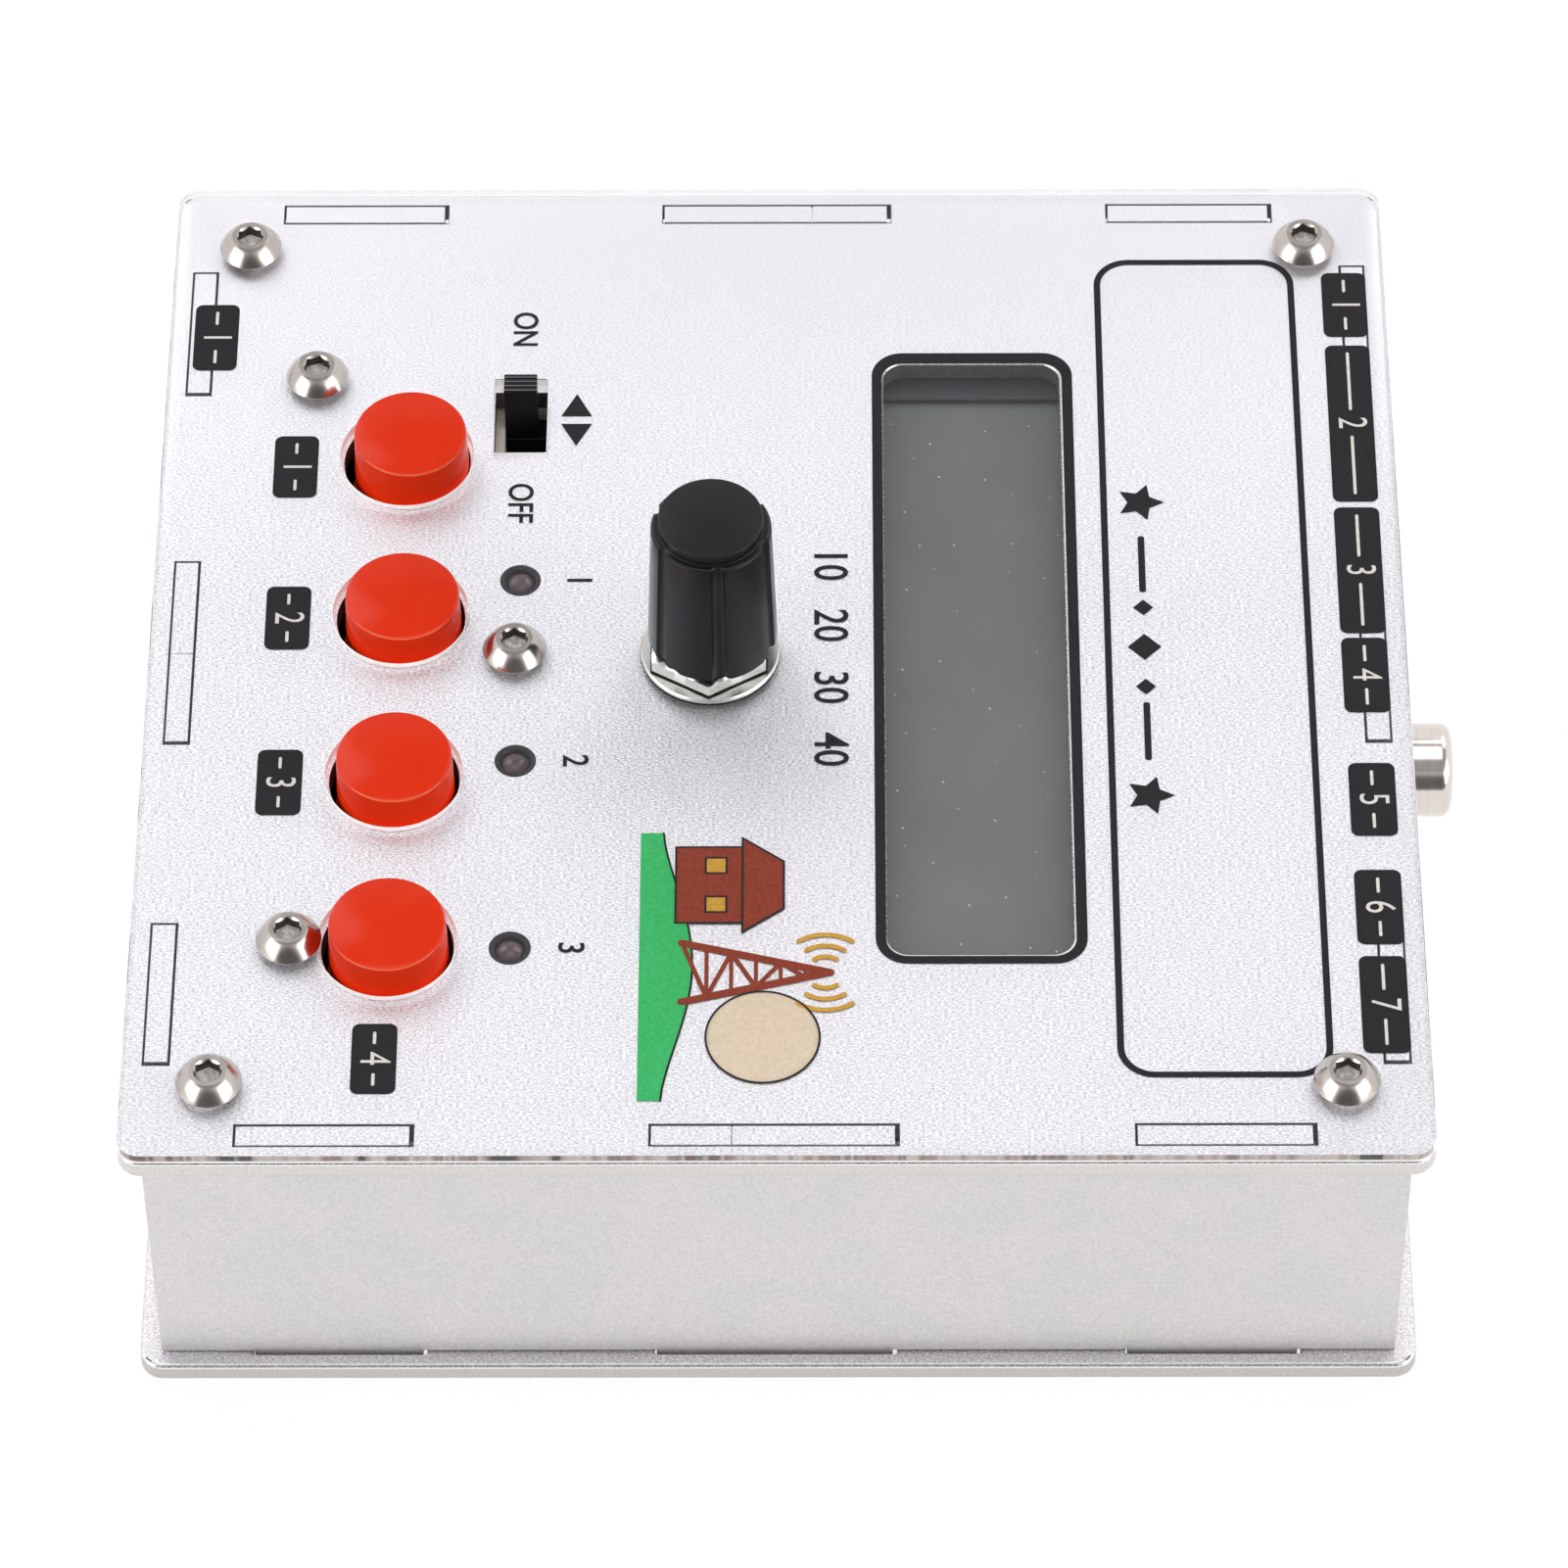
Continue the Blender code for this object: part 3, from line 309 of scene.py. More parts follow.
def enamelled_steel():
    """Steel sheet, black-lacquered: the display's frame."""
    return finish("black_steel", "#2F2E34", "#37363C", grain=0.4, bump=(0.006, 0.3), roughness=0.4,
                  specular_ior_level=0.5)


# Plastics, glass, board and ink

def let_light_through(tree, shader):
    """Shadow rays pass, so the lamps shine through the acrylic."""
    shadow = add(tree, "LightPath", output="Is Shadow Ray")
    show(tree, mix_shaders(tree, shadow, shader.outputs[0], add(tree, "BsdfTransparent")))


def cast_acrylic():
    """Cast acrylic sheet: clear and glossy, its surface a little wavy."""
    material, tree, shader = surface(
        "clear_acrylic", base_color=colour("#FCFDFE"), roughness=0.02, ior=1.49, transmission_weight=1.0)
    relief(shader, pattern(tree, 6.0, Detail=1.0), 0.01, 0.1)
    let_light_through(tree, shader)
    return material


def polished_acrylic():
    """The acrylic's polished edge: painted streaks of the print's colours, standing for the light it pipes,
    above a painted pale highlight line.
    """
    material, tree, shader = surface("acrylic_edge", roughness=0.25, ior=1.49)
    # The streaks paint the print's colours that the edge would pipe: a painted reflection.
    streaks = ramp(
        pattern(tree, 9.0, (1.0, 1.0, 400.0), Detail=4.0, Roughness=0.65),
        (0.0, "#3A3634"), (0.375, "#4A4543"), (0.39, "#948A86"), (0.47, "#CBC1BC"), (0.5, "#A9938E"),
        (0.53, "#857570"), (0.56, "#C5BAB5"), (0.6, "#6A625E"), (0.62, "#8A5A50"), (0.66, "#BDB1AA"))
    # The pale line along the edge's foot is a painted highlight.
    highlight_line, blur = 0.2, 0.08
    above = along(tree, "Z", cover_low.z + highlight_line, cover_low.z + highlight_line + blur)
    give(shader, base_color=mix_colours(tree, above, colour("#FBF9F8"), streaks))
    let_light_through(tree, shader)
    return material


def frosted_acrylic():
    """Laser-cut walls of its holes: frosted, and given a faint painted glow so they show as pale rings."""
    # The faint glow is painted light; it is not sampled as a lamp.
    material, tree, shader = surface("acrylic_hole_edge", roughness=0.5, ior=1.49, emission_strength=0.25)
    tint = blend_colours(pattern(tree, 0.5, (1.0, 1.0, 4.0), Detail=3.0), "#EBE6E4", "#FDFBFA")
    give(shader, base_color=tint, emission_color=tint)
    material.cycles.emission_sampling = "NONE"
    let_light_through(tree, shader)
    return material


def moulded_plastic(name, dark, light, rough, fine=0.06, gloss=0.3, **values):
    """Injection-moulded plastic: an even colour with a faint flow pattern and a soft skin."""
    material, tree, shader = surface(name, ior=1.5, specular_ior_level=gloss, **values)
    flow, skin = (pattern(tree, size, Detail=2.0) for size in (3.0, 0.5))
    give(shader, base_color=blend_colours(flow, dark, light))
    give(shader, roughness=spread(skin, rough - fine, rough + fine))
    relief(shader, skin, 0.002, 0.2)
    return material


def cap_plastic(name, gloss):
    """Glossy red ABS, injection-moulded: light goes a little way in and warms the edges."""
    return moulded_plastic(name, "#E9320C", "#EB360F", 0.14, 0.02, gloss, subsurface_weight=0.25,
                           subsurface_radius=(1.0, 0.25, 0.1), subsurface_scale=0.6 * mm)


def rubbed_plastic():
    """The caps' top edges, with a painted highlight: paler on the side that faces the user's right."""
    material = cap_plastic("red_painted_highlight", 0.3)
    tree = material.node_tree
    facing = add(tree, "SeparateXYZ", {"Vector": add(tree, "NewGeometry", output="Normal")}, "X")
    give(tree.nodes["Principled BSDF"], base_color=blend_colours(facing, "#E9350F", "#FC7650", 0.3, 0.9))
    return material


def smoked_lens():
    """Tinted epoxy, cast: brown-violet and glossy, over a dark chip cup."""
    return finish("smoked_lens", "#443032", "#5C4446", grain=1.2, roughness=0.12, ior=1.5)


def light_block():
    """Opal acrylic: the block behind the cell that spreads its lamp's light."""
    return finish("white_diffuser", "#D8D8CE", "#E6E6DE", grain=1.0, roughness=0.5)


def cell_glass():
    """A liquid-crystal cell under its polariser: flat grey-green, painted darker at the far end as painted
    shade, with dust.
    """
    material, tree, shader = surface("display_glass", roughness=0.16, ior=1.5)
    # Darker towards the far end: painted shade.
    tint = blend_colours(along(tree, "X", -half * 0.6, half * 0.6), "#666866", "#717270", 0.0, 1.0)
    haze = blend_colours(pattern(tree, 12.0, Detail=2.0), "#F0F0F0", "#FFFFFF")
    place, apart = add(tree, "TexCoord", output="Object"), 4.5
    motes = add(tree, "TexVoronoi", {"Vector": place, "Scale": 1 / (apart * mm)}, voronoi_dimensions="2D")
    near = spread(motes, 1.0, 0.0, 0.012, 0.028)
    chance = add(tree, "SeparateColor", {"Color": motes.node.outputs["Color"]}, "Red")
    clean = mix_colours(tree, 1.0, tint, haze, "MULTIPLY")
    give(shader, base_color=mix_colours(tree, maths("MULTIPLY", near, chance), clean, colour("#D2CFC9")))
    return material


def solder_mask():
    """Glass-fibre board under green solder mask: glossy, with copper tracks showing as lighter green."""
    material, tree, shader = surface("green_board", roughness=0.28, specular_ior_level=0.5)
    tracks = pattern(tree, 2.4, (1.0, 3.0, 1.0), "TexVoronoi")
    give(shader, base_color=blend_colours(tracks, "#1F6B3A", "#124A28", 0.1, 0.22))
    relief(shader, tracks, 0.02, 0.3)
    return material


def screen_ink(name, dark, light):
    """Screen-printing ink on the cover's back: matt, with the mesh's faint unevenness."""
    return finish(name, dark, light, grain=0.35, detail=3.0, bump=(0.004, 0.3), roughness=0.6,
                  specular_ior_level=0.05)


# Outlines in plan, anticlockwise

def arc(x, y, radius, start, end, steps):
    turns = [start + (end - start) * step / steps for step in range(steps + 1)]
    return [(x + radius * cos(turn), y + radius * sin(turn)) for turn in turns]


def circle(x, y, radius, steps=64):
    return arc(x, y, radius, 0.0, 2 * pi * (steps - 1) / steps, steps - 1)


def rectangle(low_x, high_x, low_y, high_y, radius=0.0, steps=8):
    """A rectangle, with rounded corners where a radius is given."""
    if not radius:
        return [(low_x, low_y), (high_x, low_y), (high_x, high_y), (low_x, high_y)]
    corners = ((high_x - radius, high_y - radius), (low_x + radius, high_y - radius),
               (low_x + radius, low_y + radius), (high_x - radius, low_y + radius))
    return [point for quarter, (x, y) in enumerate(corners)
            for point in arc(x, y, radius, quarter * pi / 2, (quarter + 1) * pi / 2, steps)]


def centred(x, y, wide, tall, radius=0.0, steps=4):
    return rectangle(x - wide / 2, x + wide / 2, y - tall / 2, y + tall / 2, radius, steps)


def grown(outline, by):
    """The outline with each side moved outward by that much."""
    points = []
    for before, here, after in zip(outline[-1:] + outline[:-1], outline, outline[1:] + outline[:1]):
        back = (Vector(here) - Vector(before)).normalized()
        ahead = (Vector(after) - Vector(here)).normalized()
        out = Vector((back.y + ahead.y, -back.x - ahead.x)) / (1 + back.dot(ahead))
        points.append((here[0] + out.x * by, here[1] + out.y * by))
    return points


def ribbon(points, width):
    """The outline of a stroke of that width along the points, with round ends."""
    left, right = [], []
    for at, (x, y) in enumerate(points):
        ahead = Vector(points[min(at + 1, len(points) - 1)]) - Vector(points[max(at - 1, 0)])
        ahead.normalize()
        left.append((x - ahead.y * width / 2, y + ahead.x * width / 2))
        right.append((x + ahead.y * width / 2, y - ahead.x * width / 2))

    def end(centre, edge):
        start = atan2(edge[1] - centre[1], edge[0] - centre[0])
        return arc(*centre, width / 2, start, start + pi, 6)[1:-1]

    return right + end(points[-1], right[-1]) + left[::-1] + end(points[0], left[0])


# Solids

def rounded_levels(low, high, edge):
    """Heights from low to high, each with its inset, that round off both edges of a sheet."""
    if not edge:
        return [(low, 0.0), (high, 0.0)]
    steps = 3 if edge > 0.15 else 1
    turns = [pi / 2 * step / steps for step in range(steps + 1)]
    bends = [(edge * (1 - cos(turn)), edge * (1 - sin(turn))) for turn in turns]
    lower = [(low + rise, inset) for rise, inset in bends]
    return lower + [(high - rise, inset) for rise, inset in bends[::-1]]


def join_rings(bm, lower, upper, flip=False):
    for here in range(len(lower)):
        there = (here + 1) % len(lower)
        quad = (lower[here], lower[there], upper[there], upper[here])
        bm.faces.new(quad[::-1] if flip else quad)


def add_slab(bm, outlines, low, high, edge=0.0):
    """A flat sheet between two heights: the first outline is its rim, the others are holes.
    edge is the radius of its edges, or a list with one for each outline."""
    bottoms, tops = [], []
    for number, outline in enumerate(outlines):
        rings = []
        for height, inset in rounded_levels(low, high, edge[number] if isinstance(edge, list) else edge):
            points = grown(outline, inset if number else -inset) if inset else outline
            rings.append([bm.verts.new((x, y, height)) for x, y in points])
        for lower, upper in zip(rings, rings[1:]):
            join_rings(bm, lower, upper, flip=number > 0)
        bottoms.append(rings[0])
        tops.append(rings[-1])
    for ends, flip in ((tops, False), (bottoms, True)):
        flat = [vert for ring in ends for vert in ring]
        for corners in tessellate_polygon([[vert.co.copy() for vert in ring] for ring in ends]):
            face = bm.faces.new([flat[corner] for corner in corners])
            face.normal_update()
            if (face.normal.z < 0) != flip:
                face.normal_flip()
    return bm


def add_turned(bm, profile, x=0.0, y=0.0, steps=72, closed=False, shape=None):
    """Turns a profile of (radius, height) points, drawn anticlockwise, about a vertical axis.
    shape gives the radius and height at each turn, where the piece isn't round."""
    rings = []
    for radius, height in profile:
        ring = []
        for turn in (2 * pi * step / steps for step in range(steps)):
            r, z = shape(turn, radius, height) if shape else (radius, height)
            ring.append(bm.verts.new((x + r * cos(turn), y + r * sin(turn), z)))
        rings.append(ring)
    for lower, upper in zip(rings, rings[1:] + (rings[:1] if closed else [])):
        join_rings(bm, lower, upper)
    if not closed:
        bm.faces.new(rings[0][::-1])
        bm.faces.new(rings[-1])
    return bm


def paint_faces(bm, test, index):
    """Gives another of the piece's materials to the faces that a test of centre and normal picks."""
    for face in bm.faces:
        face.normal_update()
        if test(face.calc_center_median(), face.normal):
            face.material_index = index


def piece(name, bm, materials, body="case", smooth=35, facing=Matrix()):
    """Makes an object of a mesh, turned to its place, and lets it ride on a body."""
    bm.transform(Matrix.Scale(mm, 4) @ facing)
    mesh = bpy.data.meshes.new(name)
    bm.to_mesh(mesh)
    bm.free()
    mesh.shade_smooth()
    mesh.set_sharp_from_angle(angle=radians(smooth))
    for material in materials if isinstance(materials, tuple) else (materials,):
        mesh.materials.append(material)
    made = add_object(name, mesh)
    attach(made, body)
    return made


def slab(name, outlines, low, high, material, edge=0.0, body="case", facing=Matrix()):
    return piece(name, add_slab(bmesh.new(), outlines, low, high, edge), material, body, facing=facing)


def stands_for(made, slot, *names):
    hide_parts(*names)


# Case

rim_edge = 0.36
window_edge = 0.1
hole_edge = 0.04
slot_gap_out = 0.16
base_slot_gap_out = 0.32
slot_gap_in = 0.2
slot_play = 0.4
side_inset = 0.3
plate_corner = 2.0
wall_setback = 1.6
wall_thickness = 2.0
wall_outer = half - wall_setback
wall_inner = wall_outer - wall_thickness
wall_gap = 0.2
opening_gap = 0.3

# Each tab's middle and length along its wall
tab_sizes = ((-38.55, 14.75), (-0.29, 20.7), (38.1, 14.85))
tabs = [(centre - length / 2, centre + length / 2) for centre, length in tab_sizes]
back_tab_reach = 0.6

# Turns what is drawn flat (along the wall, up, outward) upright, and then to each wall's side
upright = Matrix.Rotation(pi / 2, 4, "X")
wall_turns = {"front_wall": 0, "back_wall": 180, "right_wall": 90, "left_wall": -90}
facings = {name: Matrix.Rotation(radians(turn), 4, "Z") @ upright for name, turn in wall_turns.items()}
outer_walls = ("right_wall", "left_wall")

corner_names = numbered("corner_screw", 4)
screw_names = corner_names + numbered("board_screw", 3)
base_screw_names = numbered("base_screw", 4)
cap_names = numbered("button_cap", 4)
lamp_names = numbered("lamp", 3)
jack_names = numbered("audio_jack", 4)
screw_hole = 1.7
base_screw_hole = 3.0
cap_hole = 5.72
cover_cap_hole = 6.08
cap_hole_aside = -0.25
knob_hole = 3.8
lamp_hole = 1.8
jack_hole = 3.3

# The openings round the slide switch: reach before, after and beside its middle, then the corners' radius
deck_switch = (3.45, 4.05, 2.35)
cover_switch = (4.15, 4.75, 2.5, 0.3)

# The window round the display's middle: low and high X, low and high Y
deck_window = (-34.5, 34.0, -8.1, 8.05)
print_window = (-34.6, 34.22, -8.2, 8.27)
window_corner = 1.9
near_window = (35.0, 8.6)


def round_holes(names, radius, aside=0.0):
    return [circle(middle_of(name).x + aside, middle_of(name).y, radius) for name in names]


def knob_opening():
    return circle(*middle_of("control_knob").xy, knob_hole)


def switch_opening(before, after, side, radius=0.0):
    x, y = middle_of("slide_switch_body").xy
    return rectangle(x - before, x + after, y - side, y + side, radius, 4)


def window_outline(low_x, high_x, low_y, high_y):
    x, y = middle_of("display_bezel").xy
    return rectangle(x + low_x, x + high_x, y + low_y, y + high_y, window_corner, 12)


def plate_rim():
    return rectangle(plate_low.x, plate_high.x, plate_low.y, plate_high.y, plate_corner)


def tabs_of(name):
    """Where a wall's tabs start and end along it; the back wall's first one reaches further left."""
    (start, end), *others = tabs
    return [(start - back_tab_reach if name == "back_wall" else start, end), *others]


def slot_outlines(gap_out):
    """Slots for the walls' tabs, which stand against one end and leave a wider gap at the other."""
    inner, outer = wall_inner - slot_gap_in, wall_outer + gap_out
    side_inner, side_outer = inner - side_inset, outer - side_inset
    outlines = []
    for start, end in tabs_of("front_wall"):
        start, end = start - slot_gap_in, end + slot_play
        outlines.append(rectangle(start, end, -side_outer, -side_inner))
        outlines.append(rectangle(-outer, -inner, start, end))
        outlines.append(rectangle(inner, outer, start, end))
    for start, end in tabs_of("back_wall"):
        outlines.append(rectangle(start - slot_gap_in, end + slot_play, side_inner, side_outer))
    return outlines


def make_plates(sheet, cuts, hole_wall_shade, plate_edge_highlight):
    """Deck and floor plates: the walls of their holes and slots are painted darker, painted shade, and
    rounded edges on the near rim and round the window painted brighter, a painted highlight.
    """
    top = [plate_rim(), window_outline(*deck_window)] + slot_outlines(slot_gap_out)
    top += round_holes(screw_names, screw_hole) + round_holes(cap_names, cap_hole, cap_hole_aside)
    top += round_holes(lamp_names, lamp_hole) + [knob_opening(), switch_opening(*deck_switch)]
    base = [plate_rim()] + slot_outlines(base_slot_gap_out) + round_holes(base_screw_names, base_screw_hole)
    rim_band = 0.6
    rim = half - rim_band
    display = middle_of("display_bezel")

    def at_rim(centre):
        return max(abs(centre.x), abs(centre.y)) > rim

    def bright(centre, normal):
        aside = centre - display
        at_window = abs(aside.x) < near_window[0] and abs(aside.y) < near_window[1]
        return 0.2 < normal.z < 0.99 and (centre.x > rim or at_window)

    for name, outlines, low, high, cut in (
            ("top_plate", top, plate_low.z, plate_high.z, cuts[0]),
            ("base_plate", base, base_low.z, base_high.z, cuts[1])):
        bm = bmesh.new()
        edges = [rim_edge] + [hole_edge] * (len(outlines) - 1)
        if outlines is top:
            edges[1] = window_edge
        add_slab(bm, outlines, low, high, edges)
        paint_faces(bm, lambda c, n: abs(n.z) < 0.4 and at_rim(c), 1)
        # Walls of holes and slots take painted shade.
        paint_faces(bm, lambda c, n: abs(n.z) < 0.99 and not at_rim(c), 2)
        # Near-rim and window roundings take the painted highlight.
        paint_faces(bm, bright, 3)
        stands_for(piece(f"sheet_{name}", bm, (sheet, cut, hole_wall_shade, plate_edge_highlight)), "blasted_aluminium", name)


def make_cover(acrylic, rim_finish, hole_finish):
    """The clear sheet, laid on the print. Its near rim carries painted streaks of the print's colours and
    its holes look frosted, with a painted glow.
    """
    outlines = [plate_rim()] + round_holes(screw_names, screw_hole)
    outlines += round_holes(cap_names, cover_cap_hole, cap_hole_aside)
    outlines += [knob_opening(), switch_opening(*cover_switch)]
    ink_room, edge, rim_band = 0.02, 0.04, 2.0
    bm = add_slab(bmesh.new(), outlines, deck + ink_room, cover_high.z, edge)
    rim = half - rim_band
    paint_faces(bm, lambda c, n: abs(n.z) < 0.5, 2)
    # The rim facing the user's right takes the painted streaks.
    paint_faces(bm, lambda c, n: abs(n.z) < 0.5 and c.x > rim and n.x > 0.5, 1)
    stands_for(piece("clear_cover", bm, (acrylic, rim_finish, hole_finish)), "clear_acrylic", "cover_sheet")


def wall_outline(name, seam):
    """A wall from outside: three tabs stand out of each long edge; a fine notch marks some middle tabs."""
    low, high = extent(name)[:2]
    reach = wall_outer - side_inset if name in outer_walls else wall_inner - wall_gap
    bottom, top = base_high.z + wall_gap, plate_low.z - wall_gap
    sign = -1 if name in ("back_wall", "left_wall") else 1
    spans = tabs_of(name)
    if sign == -1:
        spans = [(-end, -start) for start, end in reversed(spans)]
    notch = 0.1
    points = [(-reach, bottom)]
    for start, end in spans:
        points += [(start, bottom), (start, low.z), (end, low.z), (end, bottom)]
    points += [(reach, bottom), (reach, top)]
    for start, end in reversed(spans):
        points += [(end, top), (end, high.z)]
        if seam is not None and start < sign * seam < end:
            middle = sign * seam
            points += [(middle + notch, high.z), (middle, high.z - 1.5 * notch), (middle - notch, high.z)]
        points += [(start, high.z), (start, top)]
    return points + [(-reach, top)]


def make_walls(satin, sheet):
    """Four walls with their sockets' openings; the tabs' ends show the blasted finish of the plates."""
    seams = {"front_wall": 0.0, "right_wall": -3.8, "left_wall": 3.1, "back_wall": None}
    back_openings = [usb_outline(name, -1, opening_gap) for name in ("back_usb_socket", "usb_host_socket")]
    back_openings += [circle(-middle_of(name).x, jack_axis, jack_hole) for name in jack_names]
    back_openings.append(circle(-middle_of("phono_jack").x, phono_axis, phono_radius + opening_gap))
    openings = {"back_wall": back_openings, "front_wall": [usb_outline("front_usb_socket", 1, opening_gap)]}
    edge = 0.03
    for name, facing in facings.items():
        inset = 0.0 if name in outer_walls else side_inset
        bm = bmesh.new()
        outlines = [wall_outline(name, seams[name])] + openings.get(name, [])
        add_slab(bm, outlines, wall_inner - inset, wall_outer - inset, edge)
        paint_faces(bm, lambda c, n: abs(n.z) < 0.9, 1)
        stands_for(piece(f"side_{name}", bm, (satin, sheet), facing=facing), "satin_aluminium", name)


# Buttons, screws, knob and lamps

# How far each cap stands off its hole's middle, and how much lower than the first
cap_shifts = (0.42, 0.25, 0.12, 0.12)
cap_drops = (0.0, 0.75, 0.55, 0.5)


def make_caps(reds):
    """Slightly drafted caps with a crowned top, a duller side and a painted highlight on the edge between
    them.
    """
    flange, foot, side, bend, crown, stem = 5.5, 5.2, 5.07, 0.2, 0.27, 1.75
    gap, flange_height, draft, rings = 0.65, 1.0, radians(6), 9
    for number, (name, shift, drop) in enumerate(zip(cap_names, cap_shifts, cap_drops), 1):
        low, high, middle, _ = extent(name)
        top = high.z - drop
        ledge = extent(f"button_switch_{number}")[1].z + gap
        shelf = ledge + flange_height
        profile = [(flange, ledge), (flange, shelf), (foot, shelf), (foot, deck)]
        profile += arc(side - bend, top - crown - bend, bend, 0.0, pi / 2 - draft, 8)
        shares = [step / rings for step in range(rings - 1, 0, -1)]
        profile += [(share * (side - bend), top - crown * share ** 2) for share in shares]
        bm = add_turned(bmesh.new(), profile, middle.x, middle.y + shift, 96)
        add_turned(bm, [(stem, low.z), (stem, ledge)], middle.x, middle.y, 24)
        # The bend round the top takes the painted highlight, the upright side the duller red.
        paint_faces(bm, lambda c, n: abs(n.z) < 0.98, 2)
        paint_faces(bm, lambda c, n: abs(n.z) < 0.08, 1)
        stands_for(piece(f"red_cap_{number}", bm, reds, f"button_{number}", 50), "red_plastic", name)


def socket_head(profile, across, depth, spin, x=0.0, y=0.0):
    """A turned head with a chamfered hexagon socket sunk in its top, down to a shallow cone."""
    chamfer, cone, tip = 0.03, 0.3 * across, 0.02
    top = profile[-1][1]
    floor, mouth = top - depth, across / cos(pi / 6) + chamfer

    def hexagon(turn, radius, height):
        if radius != across:
            return radius, height
        side = across / cos((turn - spin) % (pi / 3) - pi / 6)
        return side, height - (mouth - side) if height == top else height

    def inside(centre, normal):
        return hypot(centre.x - x, centre.y - y) < mouth and normal.z > -0.5

    profile = profile + [(mouth, top), (across, top), (across, floor), (tip, floor - cone)]
    bm = add_turned(bmesh.new(), profile, x, y, shape=hexagon)
    # Socket walls take the darker steel, painted shade; the floor takes the paler one, a painted highlight.
    paint_faces(bm, lambda c, n: inside(c, n) and c.z < top - depth * 0.3, 1)
    paint_faces(bm, lambda c, n: inside(c, n) and c.z < floor - tip, 2)
    return bm


screw_shaft = 1.5
# At what angle each head's socket stopped, in degrees
socket_spins = (5, 0, -5, 5, -10, 5, 0)
# How far heads stand off their holes' middles, by the corner's signs of X and Y
corner_shifts = {(1, 1): (-0.45, -0.1), (1, -1): (-0.45, 0.3), (-1, -1): (0.15, -0.3), (-1, 1): (0.0, 0.0)}
board_screw_shift = (0.2, 0.0)


def make_screws(steels):
    """Button heads: a dome falls from a flat ring round the socket."""
    seat, ring, rim, bevel, lip, lip_drop = cover_high.z + 0.1, 1.66, 0.2, 0.12, 0.02, 0.03
    across, depth, steps = 1.05, 1.1, 12
    for number, (name, spin) in enumerate(zip(screw_names, socket_spins), 1):
        low, high, middle, size = extent(name)
        corner = (copysign(1, middle.x), copysign(1, middle.y))
        aside_x, aside_y = corner_shifts[corner] if name in corner_names else board_screw_shift
        radius, height = size.x / 2, high.z - seat - rim
        profile = [(screw_shaft, low.z), (screw_shaft, seat), (radius - bevel, seat), (radius, seat + bevel)]
        for share in (1 - step / steps for step in range(steps)):
            fall = 1 - 0.6 * share - 0.4 * share ** 2
            profile.append((ring + (radius - ring) * share, seat + rim + height * fall))
        profile += [(ring + lip, high.z - lip_drop), (ring - lip, high.z)]
        bm = socket_head(profile, across, depth, radians(spin), middle.x + aside_x, middle.y + aside_y)
        stands_for(piece(f"button_head_{number}", bm, steels, smooth=28), "stainless_steel", name)


def make_base_screws(steels):
    """Countersunk screws, drawn head up and turned over."""
    cone, bevel, lip, ring, across, depth, turn_between = 1.5, 0.15, 0.05, 1.2, 1.0, 1.0, 0.2
    for number, name in enumerate(base_screw_names, 1):
        low, high, middle, size = extent(name)
        radius = size.x / 2
        profile = [(screw_shaft, -high.z), (screw_shaft, -low.z - cone), (radius, -low.z - bevel)]
        profile += [(radius - lip, -low.z), (ring, -low.z)]
        bm = socket_head(profile, across, depth, turn_between * number)
        facing = Matrix.Translation((middle.x, middle.y, 0.0)) @ Matrix.Rotation(pi, 4, "X")
        made = piece(f"sunk_screw_{number}", bm, steels, smooth=38, facing=facing)
        stands_for(made, "stainless_steel", name)


def make_knob(black):
    """A tapered fluted knob with a raised disc; its lower edge is chipped where the mould left flash."""
    low, high, middle, _ = extent("control_knob")
    flutes, flute_depth, flute_width, flute_turn = 6, 0.42, radians(6.5), radians(7)
    base, shoulder, disc, bore, bend, disc_bend = 5.75, 5.3, 4.6, 4.2, 0.3, 0.12
    skirt, disc_rise, disc_foot, disc_bevel, flute_end = 0.8, 1.1, 0.1, 0.08, 0.12
    aside, chip_depth, chip_places, unchipped = 0.35, 0.35, 60, 0.72
    ledge = high.z - disc_rise
    draw = Random(11)
    chips = [max(0.0, draw.random() - unchipped) / (1 - unchipped) for _ in range(chip_places)]

    def fluted(turn, radius, height):
        if height < low.z + 0.05:
            place = turn / (2 * pi) * len(chips)
            here, there = chips[int(place)], chips[(int(place) + 1) % len(chips)]
            height += chip_depth * (here + (there - here) * (place % 1.0))
        if radius < disc + 0.15:
            return radius, height
        pitch = 2 * pi / flutes
        around = abs((turn - flute_turn + pitch / 2) % pitch - pitch / 2)
        cut = flute_depth * max(0.0, 1 - (around / flute_width) ** 2) ** 0.5
        return max(disc + flute_end, radius - cut), height

    profile = [(bore, low.z + skirt), (base - 0.5, low.z), (base - 0.02, low.z + 0.02)]
    for share in (step / 6 for step in range(1, 6)):
        profile.append((base - (base - shoulder) * share, low.z + (ledge - bend - low.z) * share))
    profile += arc(shoulder - bend, ledge - bend, bend, 0.0, pi / 2, 6)
    profile += [(disc + disc_foot, ledge), (disc, ledge + disc_bevel)]
    profile += arc(disc - disc_bend, high.z - disc_bend, disc_bend, 0.0, pi / 2, 4)
    bm = add_turned(bmesh.new(), profile, middle.x, middle.y + aside, 240, shape=fluted)
    stands_for(piece("knob", bm, black, "knob", 30), "black_plastic", "control_knob")


